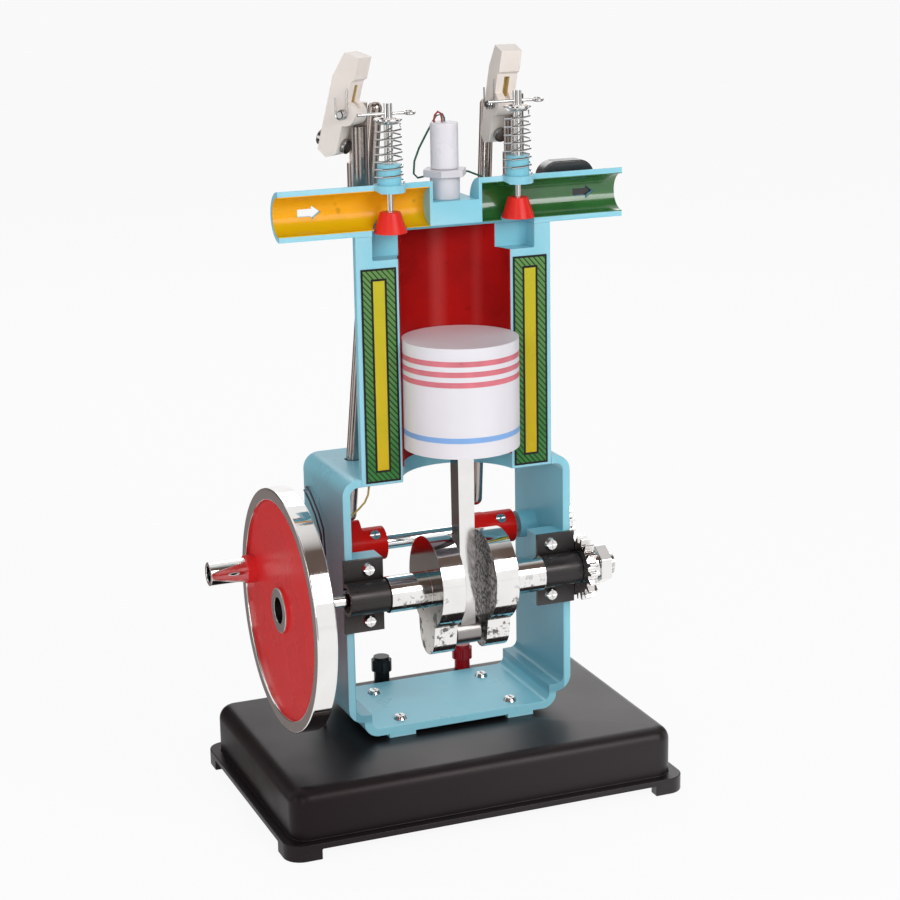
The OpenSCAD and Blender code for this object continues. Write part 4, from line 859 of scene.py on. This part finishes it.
class ENGINE_OT_piston(bpy.types.Operator):
    """White piston with pink and blue rings, and the connecting rod"""
    bl_idname = "engine.piston"
    bl_label = "Piston and Rod"

    # Node, material, colour and how far it darkens and lightens
    rings = (("compression_rings", "Ring Pink", (0.80, 0.165, 0.215), 0.25, 0.3),
             ("oil_ring", "Ring Blue", (0.20, 0.43, 0.84), 0.15, 0.4))

    def execute(self, context):
        shape = context.scene.engine_shape
        white = coated("Piston Plastic", tone("piston"), rough=0.38, dark=0.03, light=0.2, edge_light=0.2,
                       strength=0.08, depth=0.15 * MM, grain=600.0, mottle=25.0, sub=0.08)
        softened("piston_plastic", "piston", shape.turned_edge, white)
        for source, name, colour, dark, light in self.rings:
            enamel = coated(name, colour, rough=0.35, dark=dark, light=light, strength=0.1, mottle=90.0)
            dress([source], enamel)
        cast = chrome("Rod Chrome", rough=0.10, rough_spread=0.06, strength=0.2)
        # The rod's side towards the flywheel is darkened with painted shade
        overlay(cast, self.rod_side_shade, (0.24, 0.21, 0.20), rough=0.16, metal=1.0)
        overlay(cast, self.rod_foot, (0.17, 0.15, 0.145), rough=0.34, metal=1.0, share=0.8)
        softened("rod_chrome", "connecting_rod", shape.turned_edge, cast)
        return {"FINISHED"}

    # Painted shade on the rod's side towards the flywheel
    def rod_side_shade(self, tree, x, y, z):
        return ramp(tree, facing(tree), -0.5, -0.8)

    def rod_foot(self, tree, x, y, z):
        """The worn lower end of the rod, with a ragged edge."""
        low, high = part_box("connecting_rod")
        height, ragged, starts, full = high.z - low.z, 8 * MM, 0.24, 0.14
        edge = math_node(tree, "ADD", z, product(tree, noise(tree, 150.0), ragged))
        return ramp(tree, edge, low.z + height * starts, low.z + height * full)


class ENGINE_OT_valves(bpy.types.Operator):
    """Valve stems, red cones, spring plates, cotters, springs and pushrods"""
    bl_idname = "engine.valves"
    bl_label = "Valves"

    def execute(self, context):
        shape = context.scene.engine_shape
        red = coated("Valve Plastic", tone("valves"), rough=0.32, spec=0.22, dark=0.1, light=0.2,
                     strength=0.08)
        plate = chrome()
        wire = chrome("Spring Wire", share=0.62, rough=0.2, rough_spread=0.06)
        for side in ("intake", "exhaust"):
            softened(side + "_cone_plastic", side + "_cone", shape.turned_edge, red)
            softened(side + "_stem_chrome", side + "_valve", shape.small_edge, plate)
            softened(side + "_plate_chrome", side + "_retainer", shape.small_edge, plate)
            softened(side + "_rod_chrome", side + "_pushrod", shape.small_edge, post_chrome(), steps=1)
        dress(["intake_cotter", "exhaust_cotter"], wire)
        dress(["torsion_springs"], wire, rounded=True)
        for side in ("intake", "exhaust"):
            self.coil(side, wire)
        return {"FINISHED"}

    def coil(self, side, wire):
        """A valve's spring, a smooth copy of its CAD node in spring wire."""
        source, joint = side + "_spring", side + "_valve_slide"
        mesh = NODES[source].data.copy()
        smooth(mesh)
        spring = stand_in(source + "_wire", mesh, source, wire)
        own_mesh(spring)


class ENGINE_OT_rockers(bpy.types.Operator):
    """Cream rocker arms on chrome posts with their adjusting screws"""
    bl_idname = "engine.rockers"
    bl_label = "Rockers"

    # How far each raised rocker's nose points up
    lifts = {"left": math.radians(74.0), "right": math.radians(71.0)}
    # Middle and half size of the slot, in millimetres along the rocker's pin, nose and top
    slot_size = ((-4.8, 1.4), (8.7, 5.2), (1.95, 1.7))

    def execute(self, context):
        shape = context.scene.engine_shape
        plate = post_chrome()
        steel = chrome("Brown Steel", share=0.36, rough=0.2, rough_spread=0.08)
        for side, lift in self.lifts.items():
            cream = coated("Rocker Plastic " + side.title(), tone("rocker"), rough=0.45, dark=0.08, light=0.3,
                           strength=0.15, depth=0.15 * MM, grain=700.0, sub=0.05)
            self.paint_slot_shade(cream, JOINTS["rocker_%s_turn" % side], lift)
            softened("rocker_%s_plastic" % side, "rocker_" + side, shape.turned_edge, cream)
            softened("post_%s_chrome" % side, "rocker_post_" + side, shape.turned_edge, plate)
            softened("adjuster_%s_steel" % side, "adjuster_" + side, shape.turned_edge, steel)
        dress(["rocker_pins"], steel)
        return {"FINISHED"}

    def paint_slot_shade(self, cream, joint, lift):
        """Painted shade inside a rocker's slot, brownish-yellow, found along the raised rocker's own axes."""
        pin = Vector(joint["axis"])
        if pin.x < 0:
            pin = -pin
        level = Vector((pin.y, -pin.x, 0.0))
        nose = level * math.cos(lift) + Vector((0.0, 0.0, math.sin(lift)))
        top = Vector((0.0, 0.0, math.cos(lift))) - level * math.sin(lift)

        def slot(tree, x, y, z):
            offset = node(tree, "ShaderNodeVectorMath", operation="SUBTRACT")
            tree.links.new(place_on(tree), offset.inputs[0])
            offset.inputs[1].default_value = joint["pos_m"]
            steps = []
            for direction, (middle, reach) in zip((pin, nose, top), self.slot_size):
                along = node(tree, "ShaderNodeVectorMath", operation="DOT_PRODUCT")
                tree.links.new(offset.outputs[0], along.inputs[0])
                along.inputs[1].default_value = direction
                off = distance_from(tree, along.outputs["Value"], middle * MM)
                steps.append(math_node(tree, "LESS_THAN", off, reach * MM))
            return product(tree, *steps)

        # The slot is coloured brownish-yellow as painted shade
        overlay(cream, slot, (0.68, 0.52, 0.21), rough=0.4)


class ENGINE_OT_plug(bpy.types.Operator):
    """Milky plug with its lamp cap, and the leads"""
    bl_idname = "engine.plug"
    bl_label = "Plug and Leads"

    lead_colours = (("plug_red_lead", "Red Lead", (0.33, 0.02, 0.025)),
                    ("plug_green_lead", "Green Lead", (0.015, 0.13, 0.08)),
                    ("wall_leads", "Dark Lead", (0.035, 0.02, 0.05)),
                    ("tan_lead", "Tan Lead", (0.48, 0.32, 0.06)))

    def execute(self, context):
        shape = context.scene.engine_shape
        cap = self.milky("Milky Plastic", share=1.0, dark=0.05)
        foot = self.milky("Milky Foot", share=0.82, dark=0.06)
        softened("plug_body_plastic", "plug_body", shape.turned_edge, foot)
        softened("plug_cap_plastic", "plug_cap", shape.turned_edge * 2, cap, steps=3)
        for source, name, colour in self.lead_colours:
            dress([source], coated(name, colour, rough=0.4, dark=0.1), rounded=True)
        return {"FINISHED"}

    def milky(self, name, share, dark):
        return coated(name, tone("plug", share), rough=0.32, dark=dark, light=0.3, strength=0.06,
                      depth=0.2 * MM, mottle=40.0, sub=0.25)


class ENGINE_OT_fittings(bpy.types.Operator):
    """Bearing straps, screws and terminals"""
    bl_idname = "engine.fittings"
    bl_label = "Fittings"

    def execute(self, context):
        width = context.scene.engine_shape.turned_edge
        black = coated("Strap Black", (0.0075, 0.0065, 0.0065), rough=0.30, spec=0.34, dark=0.2, light=0.2,
                       edge_light=0.35, strength=0.2, grain=1800.0, mottle=90.0)
        shader = black.node_tree.nodes["Principled BSDF"]
        shader.inputs["Specular Tint"].default_value = (1.0, 0.88, 0.86, 1.0)
        for side in ("left", "right"):
            softened("strap_" + side, "bearing_strap_" + side, width, black)
        dress(["frame_screws"], screw_chrome())
        dress(["terminal_studs"], coated("Dark Plastic", (0.02, 0.017, 0.018), rough=0.35, strength=0.1))
        for shade, colour in (("black", (0.008, 0.008, 0.009)), ("red", (0.45, 0.008, 0.015))):
            plastic = coated("Knob " + shade.title(), colour, rough=0.28, coat=0.1, spec=0.3, strength=0.1)
            softened("knob_" + shade, "terminal_knob_" + shade, width, plastic)
        return {"FINISHED"}


OPERATORS = (ENGINE_OT_stage, ENGINE_OT_plinth, ENGINE_OT_castings, ENGINE_OT_linings, ENGINE_OT_labels,
             ENGINE_OT_flywheel, ENGINE_OT_crank, ENGINE_OT_cams, ENGINE_OT_piston, ENGINE_OT_valves,
             ENGINE_OT_rockers, ENGINE_OT_plug, ENGINE_OT_fittings)


class ENGINE_PT_panel(bpy.types.Panel):
    """Operators and settings of the engine model"""
    bl_idname = "ENGINE_PT_panel"
    bl_label = "Engine Model"
    bl_space_type = "VIEW_3D"
    bl_region_type = "UI"
    bl_category = "Engine Model"

    def draw(self, context):
        for group in ("engine_stage", "engine_finish", "engine_shape"):
            settings = getattr(context.scene, group)
            column = self.layout.column()
            for name in settings.__annotations__:
                column.prop(settings, name)
        for operator in OPERATORS:
            self.layout.operator(operator.bl_idname)


CLASSES = (StageSettings, FinishSettings, ShapeSettings, *OPERATORS, ENGINE_PT_panel)


def register():
    for item in CLASSES:
        bpy.utils.register_class(item)
    bpy.types.Scene.engine_stage = PointerProperty(type=StageSettings)
    bpy.types.Scene.engine_finish = PointerProperty(type=FinishSettings)
    bpy.types.Scene.engine_shape = PointerProperty(type=ShapeSettings)


def unregister():
    for name in ("engine_stage", "engine_finish", "engine_shape"):
        delattr(bpy.types.Scene, name)
    for item in reversed(CLASSES):
        bpy.utils.unregister_class(item)


def main():
    register()
    for operator in OPERATORS:
        group, name = operator.bl_idname.split(".")
        getattr(getattr(bpy.ops, group), name)()
    bpy.context.view_layer.update()


if __name__ == "__main__":
    main()
